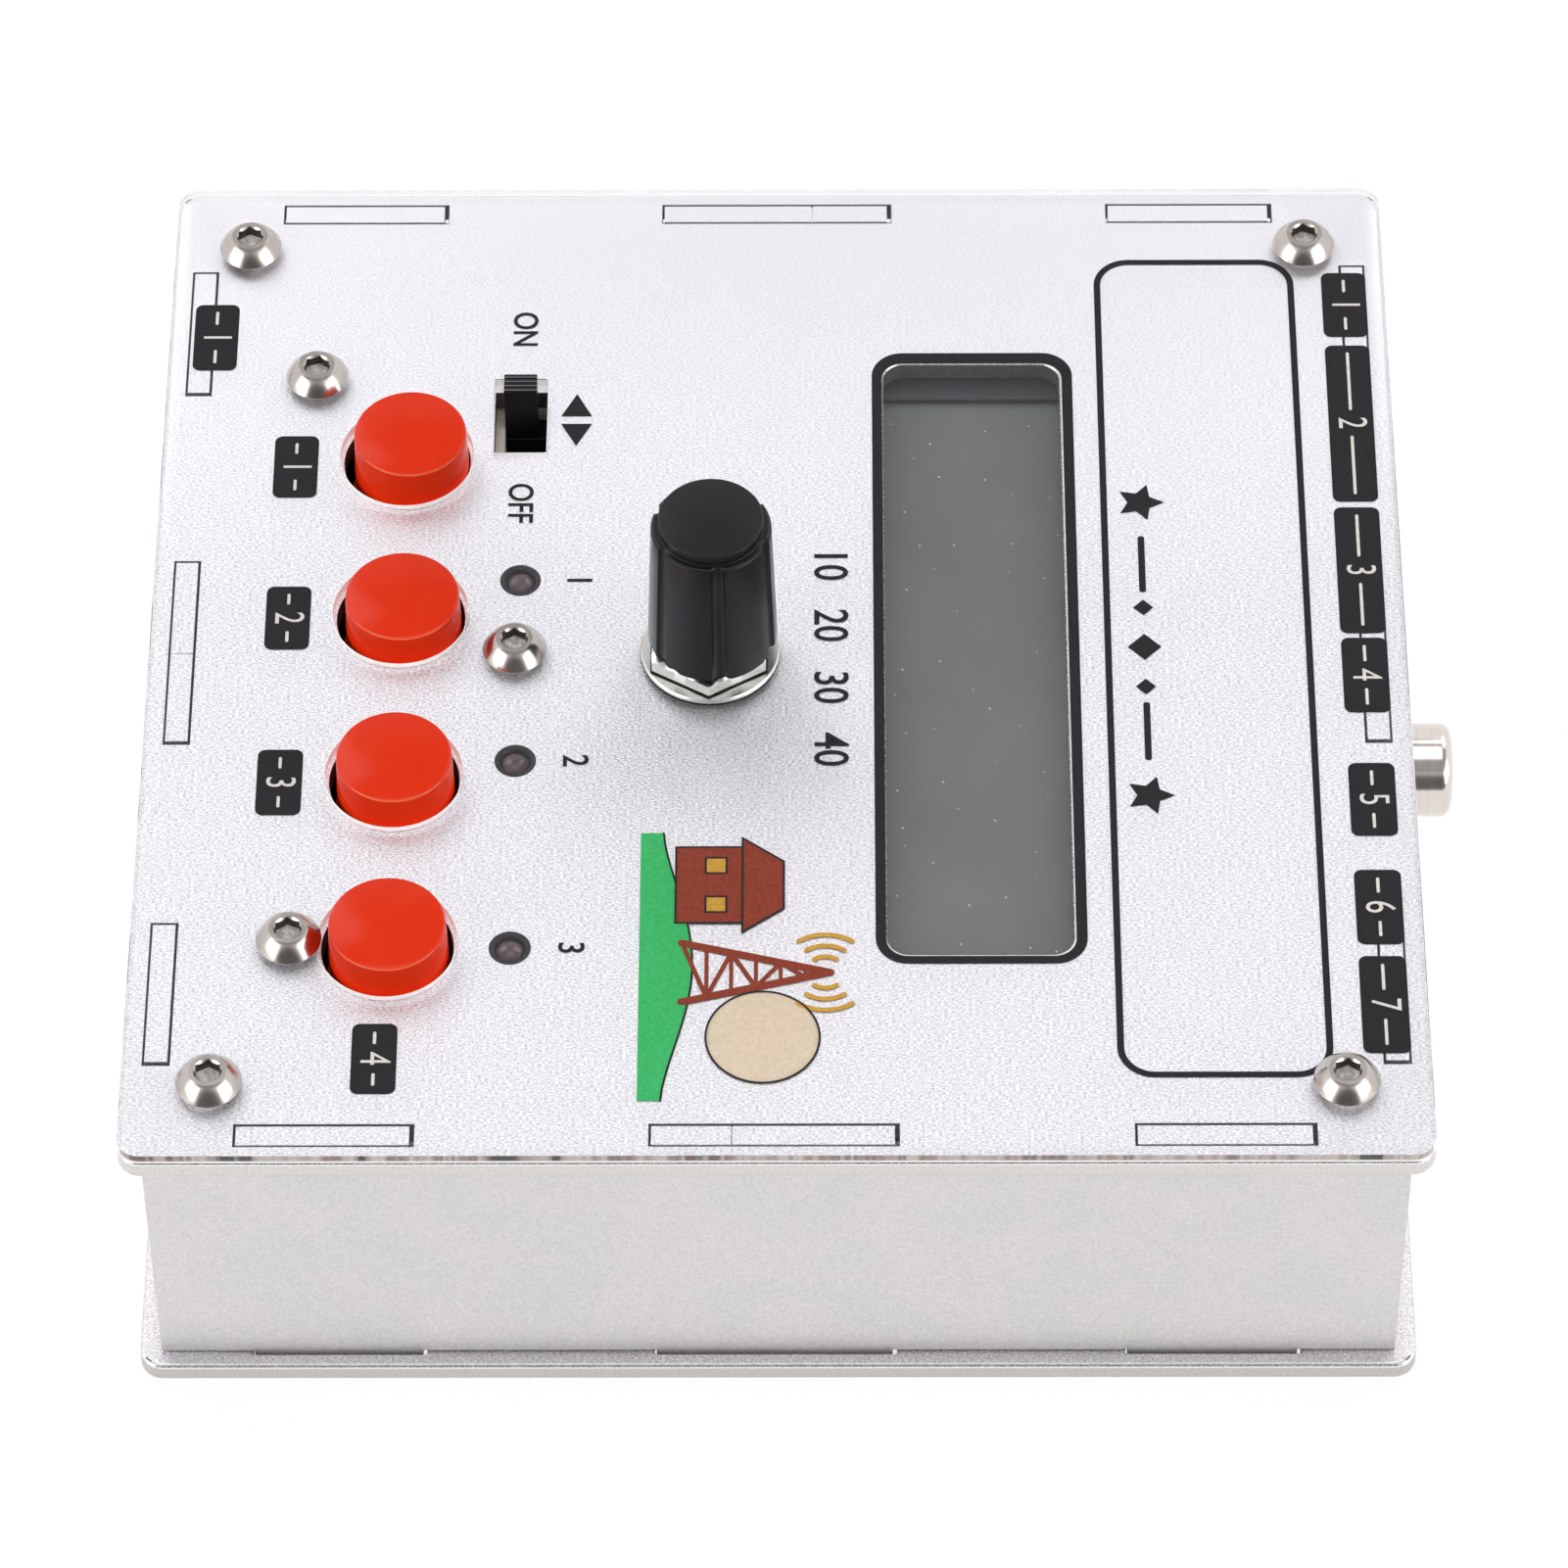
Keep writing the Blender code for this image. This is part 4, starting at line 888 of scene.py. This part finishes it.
def make_washer_and_nut(zinc, shadow_paint):
    """A dark ring painted round the nut on the washer and a dark sheet under the washer: painted shadows."""
    low, high, middle, size = extent("encoder_washer")
    x, y, washer_top = middle.x, middle.y, high.z
    rim, hole, edge, aside, film = size.x / 2 + 0.2, 3.65, 0.12, 0.1, 0.005
    profile = [(hole, low.z), (rim - edge, low.z), (rim, low.z + edge), (rim, high.z - edge)]
    profile += [(rim - edge, high.z), (hole, high.z)]
    bm = add_turned(bmesh.new(), profile, x, y + aside, 96, closed=True)
    stands_for(piece("knob_washer", bm, zinc), "nickel_plate", "encoder_washer")
    # A dark sheet just under the washer: a painted shadow.
    shade = [circle(x, y + aside, rim + 0.03), circle(x, y, hole)]
    slab("washer_shade", shade, cover_high.z + 2 * film, low.z - film, shadow_paint)

    low, high, middle, size = extent("encoder_nut")
    x, y = middle.x, middle.y
    across = size.y / 2 + 0.05
    corner = across / cos(pi / 6)

    def hexagon(turn, radius, height):
        side = across / cos(turn % (pi / 3) - pi / 6)
        return min(side, radius) if radius > hole else radius, height

    # A dark ring on the washer round the nut: a painted shadow.
    nut_shadow_outline = [circle(x, y, corner + 0.17, 6), circle(x, y, hole)]
    slab("nut_painted_shadow", nut_shadow_outline, washer_top + film, washer_top + 4 * film, shadow_paint)
    bevel, foot = 0.2, low.z - 0.04
    profile = [(hole, foot), (across * 0.98, foot), (corner, foot + bevel), (corner, high.z - bevel)]
    profile += [(across * 0.99, high.z), (hole, high.z)]
    bm = add_turned(bmesh.new(), profile, x, y, 144, True, hexagon)
    stands_for(piece("knob_nut", bm, zinc, smooth=20), "nickel_plate", "encoder_nut")


def make_lamps(lens, black):
    """Domed lenses in black collars that fill the deck's holes."""
    body, radius, tip, rise, foot = 1.5, 1.3, deck - 0.01, 0.7, deck - 1.6
    for number, name in enumerate(lamp_names, 1):
        low, _, middle, _ = extent(name)
        x, y = middle.x, middle.y
        profile = [(body, low.z), (body, foot), (radius, foot), (radius, tip - rise)]
        turns = [pi / 2 * step / 11 for step in range(1, 11)]
        profile += [(radius * cos(turn), tip - rise + rise * sin(turn)) for turn in turns]
        bm = add_turned(bmesh.new(), profile, x, y, 48)
        stands_for(piece(f"lamp_lens_{number}", bm, lens), "smoked_lens", name)
        outlines = [circle(x, y, lamp_hole - 0.02), circle(x, y, radius + 0.01)]
        slab(f"lamp_collar_{number}", outlines, deck - 1.5, deck - 0.03, black, [0.02, 0.25])


def make_slide_switch(tin, black, rib_highlight):
    """A folded tinned cover round a black slider; the lever's top has ribs across the thumb's path, with a
    painted highlight on their faces towards the user's right.
    """
    low, high, middle, _ = extent("slide_switch_body")
    lever_low, lever_high, lever_middle, lever_size = extent("slide_switch_lever")
    reach, near, far, edge, fold, bend = 3.45, middle.y - 1.5, middle.y + 2.3, 0.05, 4.0, 0.1
    floor_low, floor_high = high.z - 3.9, high.z - 3.0
    slot = rectangle(middle.x - reach, middle.x + reach, near, far)
    rim = rectangle(low.x, high.x, low.y, high.y, 0.4, 4)
    bm = add_slab(bmesh.new(), [rim, slot], high.z - fold, high.z, bend)
    add_slab(bm, [rim], low.z, high.z - fold - edge, bend)
    stands_for(piece("switch_cover", bm, tin), "stainless_steel", "slide_switch_body")
    slab("switch_floor", [grown(slot, -edge)], floor_low, floor_high, black, edge)

    ribs, rib_depth, rib_bevel = 4, 0.3, 0.05
    top, pitch, reach = lever_high.z, lever_size.x / ribs, lever_size.x / 2
    outline = [(-reach, lever_low.z), (reach, lever_low.z)]
    # Each rib from its right foot: shares of the pitch, and how far it is below the top
    rib_shares = ((0.0, rib_depth), (0.12, rib_bevel), (0.3, 0.0), (0.7, 0.0), (0.88, rib_bevel))
    for rib in range(ribs):
        outline += [(reach - (rib + share) * pitch, top - drop) for share, drop in rib_shares]
    outline.append((-reach, top - rib_depth))
    turn = Matrix.Translation((lever_middle.x, lever_middle.y, 0.0)) @ upright
    bm = add_slab(bmesh.new(), [outline], -lever_size.y / 2, lever_size.y / 2, 0.02)
    # Rib faces that slope up towards the user's right take the painted highlight.
    paint_faces(bm, lambda c, n: n.x > 0.3 and n.y > 0.3, 1)
    made = piece("slide_lever", bm, (black, rib_highlight), "switch_lever", 20, turn)
    stands_for(made, "black_plastic", "slide_switch_lever")
    overlap, play, shoe_low, shoe_high = 0.15, 0.1, high.z - 2.8, high.z - 1.2
    shoe = rectangle(lever_low.x - overlap, lever_high.x + overlap, near + play, far - play)
    slab("slide_shoe", [shoe], shoe_low, shoe_high, black, edge, "switch_lever")


# Print on the back of the cover

ink_low = deck + 0.05
ink_high = deck + 0.075
low_lettering = ink_low + 0.01
high_lettering = ink_high + 0.006
tab_radius = 0.7

# Black tabs under the labels: each row's low and high Y, then the low and high X of its tabs
tab_rows = (
    ((-53.8, -49.75), [(-42.0, -33.9)]),
    ((-45.8, -41.8), [(-25.8, -18.4), (-7.8, -0.45), (11.1, 18.5)]),
    ((-36.4, -32.5), [(41.5, 49.0)]),
    ((50.2, 54.3), [(-45.75, -37.8), (-36.7, -17.7), (-17.0, -2.15), (-1.6, 7.0), (12.8, 21.0), (24.8, 33.0),
                    (34.3, 44.8)]),
)
tab_boxes = [(*across, *deep) for deep, row in tab_rows for across in row]
tab_numbers = "112341234567"


def star(x, y, reach, points=5):
    """A five-pointed star whose tip points away from the user."""
    outline = []
    for step in range(2 * points):
        radius, turn = reach / (1 + step % 2), pi / 2 + pi * step / points
        outline.append((x + radius * cos(turn), y + radius * sin(turn)))
    return outline


def make_black_print(ink):
    """Tabs, the display's border, the panel with its row of ornaments and the switch's arrows."""
    border = rectangle(-35.85, 35.05, 8.55, 26.9, 2.8, 12)
    panel = rectangle(-47.45, 47.35, 29.15, 47.65, 3.2, 12)
    shapes = [[rectangle(*box, tab_radius)] for box in tab_boxes]
    shapes += [[border, window_outline(*print_window)], [panel, grown(panel, -0.6)]]
    row = 32.7
    shapes += [[star(x, row, 2.2)] for x in (-17.65, 16.4)]
    for x, reach in ((-0.6, 1.5), (-5.2, 0.9), (4.0, 0.9)):
        shapes.append([[(x + reach, row), (x, row + reach), (x - reach, row), (x, row - reach)]])
    for start, end in ((-13.6, -7.0), (5.8, 12.4)):
        shapes.append([centred((start + end) / 2, row, end - start, 0.6, 0.25)])
    low_y, high_y = -19.8, -17.0
    for tip, foot, bottom, top in ((-30.9, -28.2, low_y, high_y), (-24.6, -27.25, high_y, low_y)):
        shapes.append([[(tip, (low_y + high_y) / 2), (foot, bottom), (foot, top)]])
    bm = bmesh.new()
    for outlines in shapes:
        add_slab(bm, outlines, ink_low, ink_high)
    piece("black_print", bm, ink)


def lettering(name, text, x, y, height, material, level=low_lettering, wide=0.9, weight=0.03):
    """Words or numbers that read along +X, centred on a place."""
    data = bpy.data.curves.new(name, "FONT")
    data.body = text
    data.align_x = "CENTER"
    data.align_y = "CENTER"
    data.size = height * 1.4 * mm
    data.offset = weight * mm
    data.extrude = 0.005 * mm
    data.resolution_u = 4
    data.materials.append(material)
    made = add_object(name, data)
    made.location = Vector((x, y, level)) * mm
    made.scale = (wide, 1.0, 1.0)
    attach(made, "case")


def make_lettering(black, silver):
    """Labels of the switch, the lamps and the knob's scale; a number between dashes on each tab."""
    switch_y, lamp_y, height = -23.4, -17.9, 2.3
    lettering("print_on", "ON", -38.9, switch_y, height, black, wide=0.85)
    lettering("print_off", "OFF", -17.7, switch_y, height, black, wide=0.85)
    for number, name in enumerate(lamp_names, 1):
        lettering(f"print_lamp_{number}", str(number), middle_of(name).x, lamp_y, height, black)
    lettering("print_knob_scale", "10   20   30   40", 0.4, 4.6, 3.1, black)
    dash_start, dash_end, shortest_dash, dash_width, dash_depth = 1.7, 1.0, 0.4, 0.28, 0.005
    bm = bmesh.new()
    for at, ((low_x, high_x, low_y, high_y), number) in enumerate(zip(tab_boxes, tab_numbers), 1):
        x, y = (low_x + high_x) / 2, (low_y + high_y) / 2
        lettering(f"tab_number_{at}", number, x, y, 2.7, silver, high_lettering, 0.8, -0.01)
        reach = (high_x - low_x) / 2 - dash_end
        if reach - dash_start > shortest_dash:
            for side in (-1, 1):
                dash = ribbon([(x + side * dash_start, y), (x + side * reach, y)], dash_width)
                add_slab(bm, [dash], high_lettering - dash_depth, high_lettering + dash_depth)
    piece("tab_dashes", bm, silver)


def make_artwork(inks):
    """A made-up scene of the same colours: a lattice mast and a hut on a green hill before a pale sun."""
    red, gold, beige, green, line = inks
    left, right, foot, ground, hill_low, hill_rise = 20.6, 49.8, -11.9, -8.2, -9.9, 2.6
    swell = [(right - (right - left) * share, hill_low + hill_rise * sin(pi * share) ** 1.5)
             for share in (step / 24 for step in range(25))]
    hill = [(left, foot), (right, foot)] + swell
    sun = circle(43.0, -1.2, 4.9)
    eaves, ridge = -3.0, 0.6
    hut = rectangle(22.2, 30.6, ground - 0.6, eaves)
    roof = [(21.2, eaves), (31.6, eaves), (29.0, ridge), (23.8, ridge)]
    panes = [rectangle(x, x + 1.7, -6.2, -4.4) for x in (23.4, 27.7)]
    top, spread_x, levels = Vector((36.0, 4.6)), 3.2, 6
    feet = [Vector((top.x - spread_x, ground)), Vector((top.x + spread_x, ground))]
    mast = [ribbon([foot, top], 0.75) for foot in feet]

    def rung(side, share):
        return feet[side].lerp(top, share)

    for step in range(levels - 1):
        start, end = step / levels, (step + 1) / levels
        mast.append(ribbon([rung(step % 2, start), rung((step + 1) % 2, end)], 0.4))
        mast.append(ribbon([rung(0, end), rung(1, end)], 0.35))
    waves = [ribbon(arc(top.x, top.y - 0.4, radius, side - 0.6, side + 0.6, 10), 0.45)
             for radius in (1.7, 2.9, 4.1) for side in (0.0, pi)]
    outline_width, step_up, thickness = 0.09, 0.001, 0.02
    rings = [[grown(shape, outline_width), grown(shape, -outline_width)]
             for shape in (sun, hut, roof, *panes)]
    layers = (
        ("sun", beige, [[sun]]),
        ("hill", green, [[hill]]),
        ("ridge", line, [[ribbon(swell, 2 * outline_width)]]),
        ("hut", red, [[hut], [roof], *([bar] for bar in mast)]),
        ("panes", gold, [[shape] for shape in panes + waves]),
        ("outlines", line, rings),
    )
    for layer, (name, ink, shapes) in enumerate(layers):
        bm = bmesh.new()
        for step, shape in enumerate(shapes):
            low = ink_low + thickness * layer + step_up * step
            add_slab(bm, shape, low, low + thickness)
        piece(f"art_{name}", bm, ink)


# Sockets

sockets_low = 12.2
jack_axis = sockets_low + 3.5
phono_axis = sockets_low + 6.9
phono_radius = 4.2
socket_mouth = wall_outer + 0.2
socket_face = wall_inner - 0.3


def usb_outline(name, sign, gap=0.0):
    _, _, middle, size = extent(name)
    return centred(sign * middle.x, middle.z, size.x + 2 * gap, size.z + 2 * gap, 0.6 + gap)


def body_outline(name):
    _, _, middle, size = extent(name)
    return centred(-middle.x, middle.z, size.x, size.z)


def make_usb_sockets(nickel, plastic, gold):
    """Folded shells; a tongue with gold contacts stands in each mouth."""
    sheet, edge, play, recess, frame_width = 0.4, 0.06, 0.02, 1.2, 3.0
    kinds = {"front_usb_socket": ("front_wall", 1, 5), "back_usb_socket": ("back_wall", -1, 5),
             "usb_host_socket": ("back_wall", -1, 4)}
    for name, (wall, sign, contacts) in kinds.items():
        _, _, middle, size = extent(name)
        x, facing = sign * middle.x, facings[wall]
        back, tip = socket_mouth - size.y, socket_mouth - recess
        shell = [usb_outline(name, sign), usb_outline(name, sign, -sheet)]
        bm = add_slab(bmesh.new(), shell, back, socket_mouth, edge)
        add_slab(bm, [usb_outline(name, sign, -sheet - play)], back, back + sheet, 0.05)
        stands_for(piece(f"shell_{name}", bm, nickel, facing=facing), "nickel_plate", name)
        wide, thick, root = size.x - frame_width, size.z * 0.26, back + 0.5
        tongue = centred(x, middle.z, wide, thick)
        slab(f"tongue_{name}", [tongue], root, tip, plastic, 0.08, facing=facing)
        bm = bmesh.new()
        pitch, leaf = wide / contacts, 0.06
        for at in range(contacts):
            centre = x + pitch * (at + 0.5) - wide / 2
            strip = centred(centre, middle.z + thick / 2 + leaf / 2, pitch * 0.6, leaf)
            add_slab(bm, [strip], root, tip - 0.4)
        piece(f"contacts_{name}", bm, gold, facing=facing)


def make_audio_jacks(black, nickel):
    """Moulded bodies whose noses pass the wall; a sprung contact shows in each bore."""
    nose, bore, depth, back, bevel, mouth, face = 3.0, 1.8, 10.0, 2.0, 0.2, socket_mouth, socket_face
    lead_in = 0.25
    facing = facings["back_wall"]
    for number, name in enumerate(jack_names, 1):
        x = -middle_of(name).x
        body = body_outline(name)
        bm = add_slab(bmesh.new(), [body, circle(x, jack_axis, bore, 48)], face - depth, face, 0.15)
        add_slab(bm, [body], face - depth - back, face - depth - 0.05, 0.15)
        profile = [(bore, face), (nose, face), (nose, mouth - bevel), (nose - bevel, mouth)]
        profile += [(bore + lead_in, mouth), (bore, mouth - lead_in)]
        add_turned(bm, profile, x, jack_axis, 72, closed=True)
        stands_for(piece(f"jack_body_{number}", bm, black, facing=facing), "black_plastic", name)
        sleeve = rectangle(bore - 0.15, bore - 0.03, face - 1.0, mouth - 0.9)
        bm = add_turned(bmesh.new(), sleeve, x, jack_axis, 48, closed=True)
        spring = rectangle(x - 0.4, x + 0.4, jack_axis + 0.9, jack_axis + 1.6)
        add_slab(bm, [spring], face - 6.0, face - 1.2, 0.08)
        piece(f"jack_contact_{number}", bm, nickel, facing=facing)


def make_phono(nickel, black):
    """A turned barrel with a rolled lip round an insulating ring and a hollow pin."""
    low, high, middle, _ = extent("phono_jack")
    x, mouth, face, facing = -middle.x, high.y, socket_face, facings["back_wall"]
    bend, wall, recess, pin, pin_wall, gap = 1.0, 0.5, 1.1, 1.6, 0.33, 0.02
    lip = phono_radius - bend - 0.1
    profile = [(phono_radius - wall, face), (phono_radius, face)]
    profile += arc(phono_radius - bend, mouth - bend, bend, 0.0, pi / 2, 8)
    profile += [(lip, mouth - gap), (lip, mouth - recess)]
    bm = add_turned(bmesh.new(), profile, x, phono_axis, 96, closed=True)
    add_slab(bm, [body_outline("phono_jack")], low.y, face, 0.2)
    stands_for(piece("phono_barrel", bm, nickel, facing=facing), "nickel_plate", "phono_jack")
    root = face + 0.5
    ring = rectangle(pin + pin_wall + gap, lip - 0.05, root, mouth - recess)
    piece("phono_insulator", add_turned(bmesh.new(), ring, x, phono_axis, 64, True), black, facing=facing)
    tube = rectangle(pin, pin + pin_wall, root, mouth - recess - 0.1)
    piece("phono_pin", add_turned(bmesh.new(), tube, x, phono_axis, 64, True), nickel, facing=facing)


# Studio

# Brightness of the lamps and the room, where white paper in full light is 1
front_light = 2.64
back_light = 2.24
top_light = 1.33
fill_light = 0.34
ceiling_light = 0.4
room_light = 0.14
floor_glow = 1.1
glow_share = 0.7
floor_reach = 3000.0


def make_floor():
    """A white floor that glows where it is seen or mirrored, so that it meets the white sweep unseen."""
    bm = bmesh.new()
    bmesh.ops.create_grid(bm, x_segments=2, y_segments=2, size=floor_reach * mm)
    mesh = bpy.data.meshes.new("floor")
    bm.to_mesh(mesh)
    bm.free()
    floor = add_object("floor", mesh)
    floor.location.z = (base_low.z - 0.05) * mm
    material, tree, shader = surface("pale_floor", base_color=colour("#FCFCFC"), roughness=0.9)
    rays = add(tree, "LightPath").node.outputs
    seen = maths("MAXIMUM", rays["Is Camera Ray"], rays["Is Glossy Ray"])
    seen = maths("MAXIMUM", seen, rays["Is Transmission Ray"])
    glow = add(tree, "Emission", {"Color": white, "Strength": floor_glow})
    show(tree, mix_shaders(tree, maths("MULTIPLY", seen, glow_share), shader.outputs[0], glow))
    mesh.materials.append(material)


def make_world():
    """A white sweep up to the height of the eye, a dim ceiling over it and a dark room behind the camera."""
    world = bpy.data.worlds.new("studio")
    world.use_nodes = True
    tree = world.node_tree
    way = add(tree, "SeparateXYZ", {"Vector": add(tree, "TexCoord", output="Generated")}).node.outputs
    ceiling_start, ceiling_end, room_start, room_end = sin(radians(43)), sin(radians(47)), 0.6, 0.85
    ceiling = spread(way["Z"], 1.0, ceiling_light, ceiling_start, ceiling_end)
    room = spread(way["X"], 1.0, room_light, room_start, room_end)
    rays = add(tree, "LightPath").node.outputs
    mirrored = maths("MAXIMUM", rays["Is Glossy Ray"], rays["Is Transmission Ray"])
    fill, studio, sweep = (add(tree, "Background", {"Color": white, "Strength": strength})
                           for strength in (fill_light, maths("MULTIPLY", ceiling, room), 1.0))
    lit = mix_shaders(tree, mirrored, fill, studio)
    seen = mix_shaders(tree, rays["Is Camera Ray"], lit, sweep)
    feed(tree.nodes["World Output"], "Surface", seen)
    bpy.context.scene.world = world


def make_softbox(name, turn, height, distance, width, tall, brightness):
    """A softbox at that turn from +X and that height, facing the part; white paper has brightness 1."""
    data = bpy.data.lights.new(name, "AREA")
    data.shape = "RECTANGLE"
    data.size = width * mm
    data.size_y = tall * mm
    data.energy = brightness * pi * data.size * data.size_y
    lamp = add_object(name, data)
    turn, height = radians(turn), radians(height)
    place = Vector((cos(turn) * cos(height), sin(turn) * cos(height), sin(height))) * distance
    lamp.location = place * mm
    lamp.rotation_euler = place.to_track_quat("Z", "Y").to_euler()


def make_lights():
    """Two large softboxes beside the camera, two behind the part and one over it."""
    for side in (-1, 1):
        make_softbox(f"softbox_front_{side}", side * 62, 24, 900.0, 700.0, 500.0, front_light)
        make_softbox(f"softbox_back_{side}", side * 142, 46, 1000.0, 450.0, 450.0, back_light)
    make_softbox("softbox_top", 180, 86, 1000.0, 600.0, 600.0, top_light)


def dress_inside(steel, brass, board, black, black_steel, cell, opal, nickel):
    """The pieces whose CAD shape is kept, each with its own finish."""
    finishes = (
        (steel, ["encoder_body"]),
        (brass, numbered("lower_spacer", 4) + numbered("corner_post", 4)),
        (board, ["main_board", "control_board", "display_board"]),
        (black, ["buzzer", "encoder_rotor"] + numbered("button_switch", 4)),
        (black_steel, ["display_bezel"]),
        (cell, ["display_glass"]),
        (opal, ["display_backlight"]),
        (nickel, ["encoder_shaft"]),
    )
    for material, names in finishes:
        for name in names:
            mesh = nodes[name].data
            mesh.materials.clear()
            mesh.materials.append(material)


def main():
    make_camera()
    sheet = blasted_aluminium()
    wall = satin_aluminium()
    black = moulded_plastic("black_plastic", "#131217", "#16151B", 0.3, 0.01)
    steel = screw_steel()
    nickel = nickel_plate()
    zinc = zinc_plate()
    black_ink = screen_ink("black_ink", "#18161A", "#1E1C20")
    silver_ink = screen_ink("silver_ink", "#CFCAC2", "#E4E0DA")
    dress_inside(steel, turned_brass(), solder_mask(), black, enamelled_steel(), cell_glass(), light_block(),
                 nickel)
    # The base plate's rim is a darker copy of the deck's: painted shade.
    cuts = (cut_aluminium("cut_rim", "#D2CFCC", "#E6E3E1"),
            cut_aluminium("base_rim_painted_shade", "#BFBBB8", "#D3CFCC"))
    # Darker copy of the cut edge: painted shade for the walls of holes and slots.
    hole_wall_shade = cut_aluminium("painted_hole_shade", "#767172", "#8A8586")
    # Near-white rounded edge: a painted highlight.
    plate_edge_highlight = cut_aluminium("plate_edge_highlight", "#E6E4E4", "#FFFFFF", 1.0, 0.26)
    make_plates(sheet, cuts, hole_wall_shade, plate_edge_highlight)
    make_walls(wall, sheet)
    make_cover(cast_acrylic(), polished_acrylic(), frosted_acrylic())
    make_caps((cap_plastic("red_plastic", 0.17), cap_plastic("red_side", 0.04), rubbed_plastic()))
    steels = (steel, socket_steel(), socket_floor())
    make_screws(steels)
    make_base_screws(steels)
    # The switch cover's tin is painted a pale, barely metallic cream so it shows bright in the deck's shade:
    # painted light.
    make_slide_switch(cut_aluminium("tin_painted_pale", "#F4E9DA", "#FFF7EA", 0.1), black,
                      moulded_plastic("rib_painted_highlight", "#5C5B60", "#77767B", 0.5))
    make_knob(black)
    # Flat dark plastic for the nut's and washer's painted shadows.
    make_washer_and_nut(zinc, moulded_plastic("painted_shadow_black", "#1E1C1A", "#2A2725", 0.6))
    make_lamps(smoked_lens(), black)
    make_black_print(black_ink)
    make_lettering(black_ink, silver_ink)
    make_artwork((
        screen_ink("red_brown_ink", "#7C2F1C", "#8E3A24"),
        screen_ink("gold_ink", "#B98A2E", "#CF9F40"),
        screen_ink("beige_ink", "#CDBBA4", "#D8C8B2"),
        screen_ink("green_ink", "#2FA65A", "#3DB469"),
        black_ink,
    ))
    make_usb_sockets(nickel, moulded_plastic("tongue_plastic", "#1A1A1C", "#232326", 0.4), gold_contact())
    make_audio_jacks(black, nickel)
    make_phono(nickel, black)
    make_floor()
    make_world()
    make_lights()
    bpy.context.scene.view_settings.view_transform = "Standard"


main()
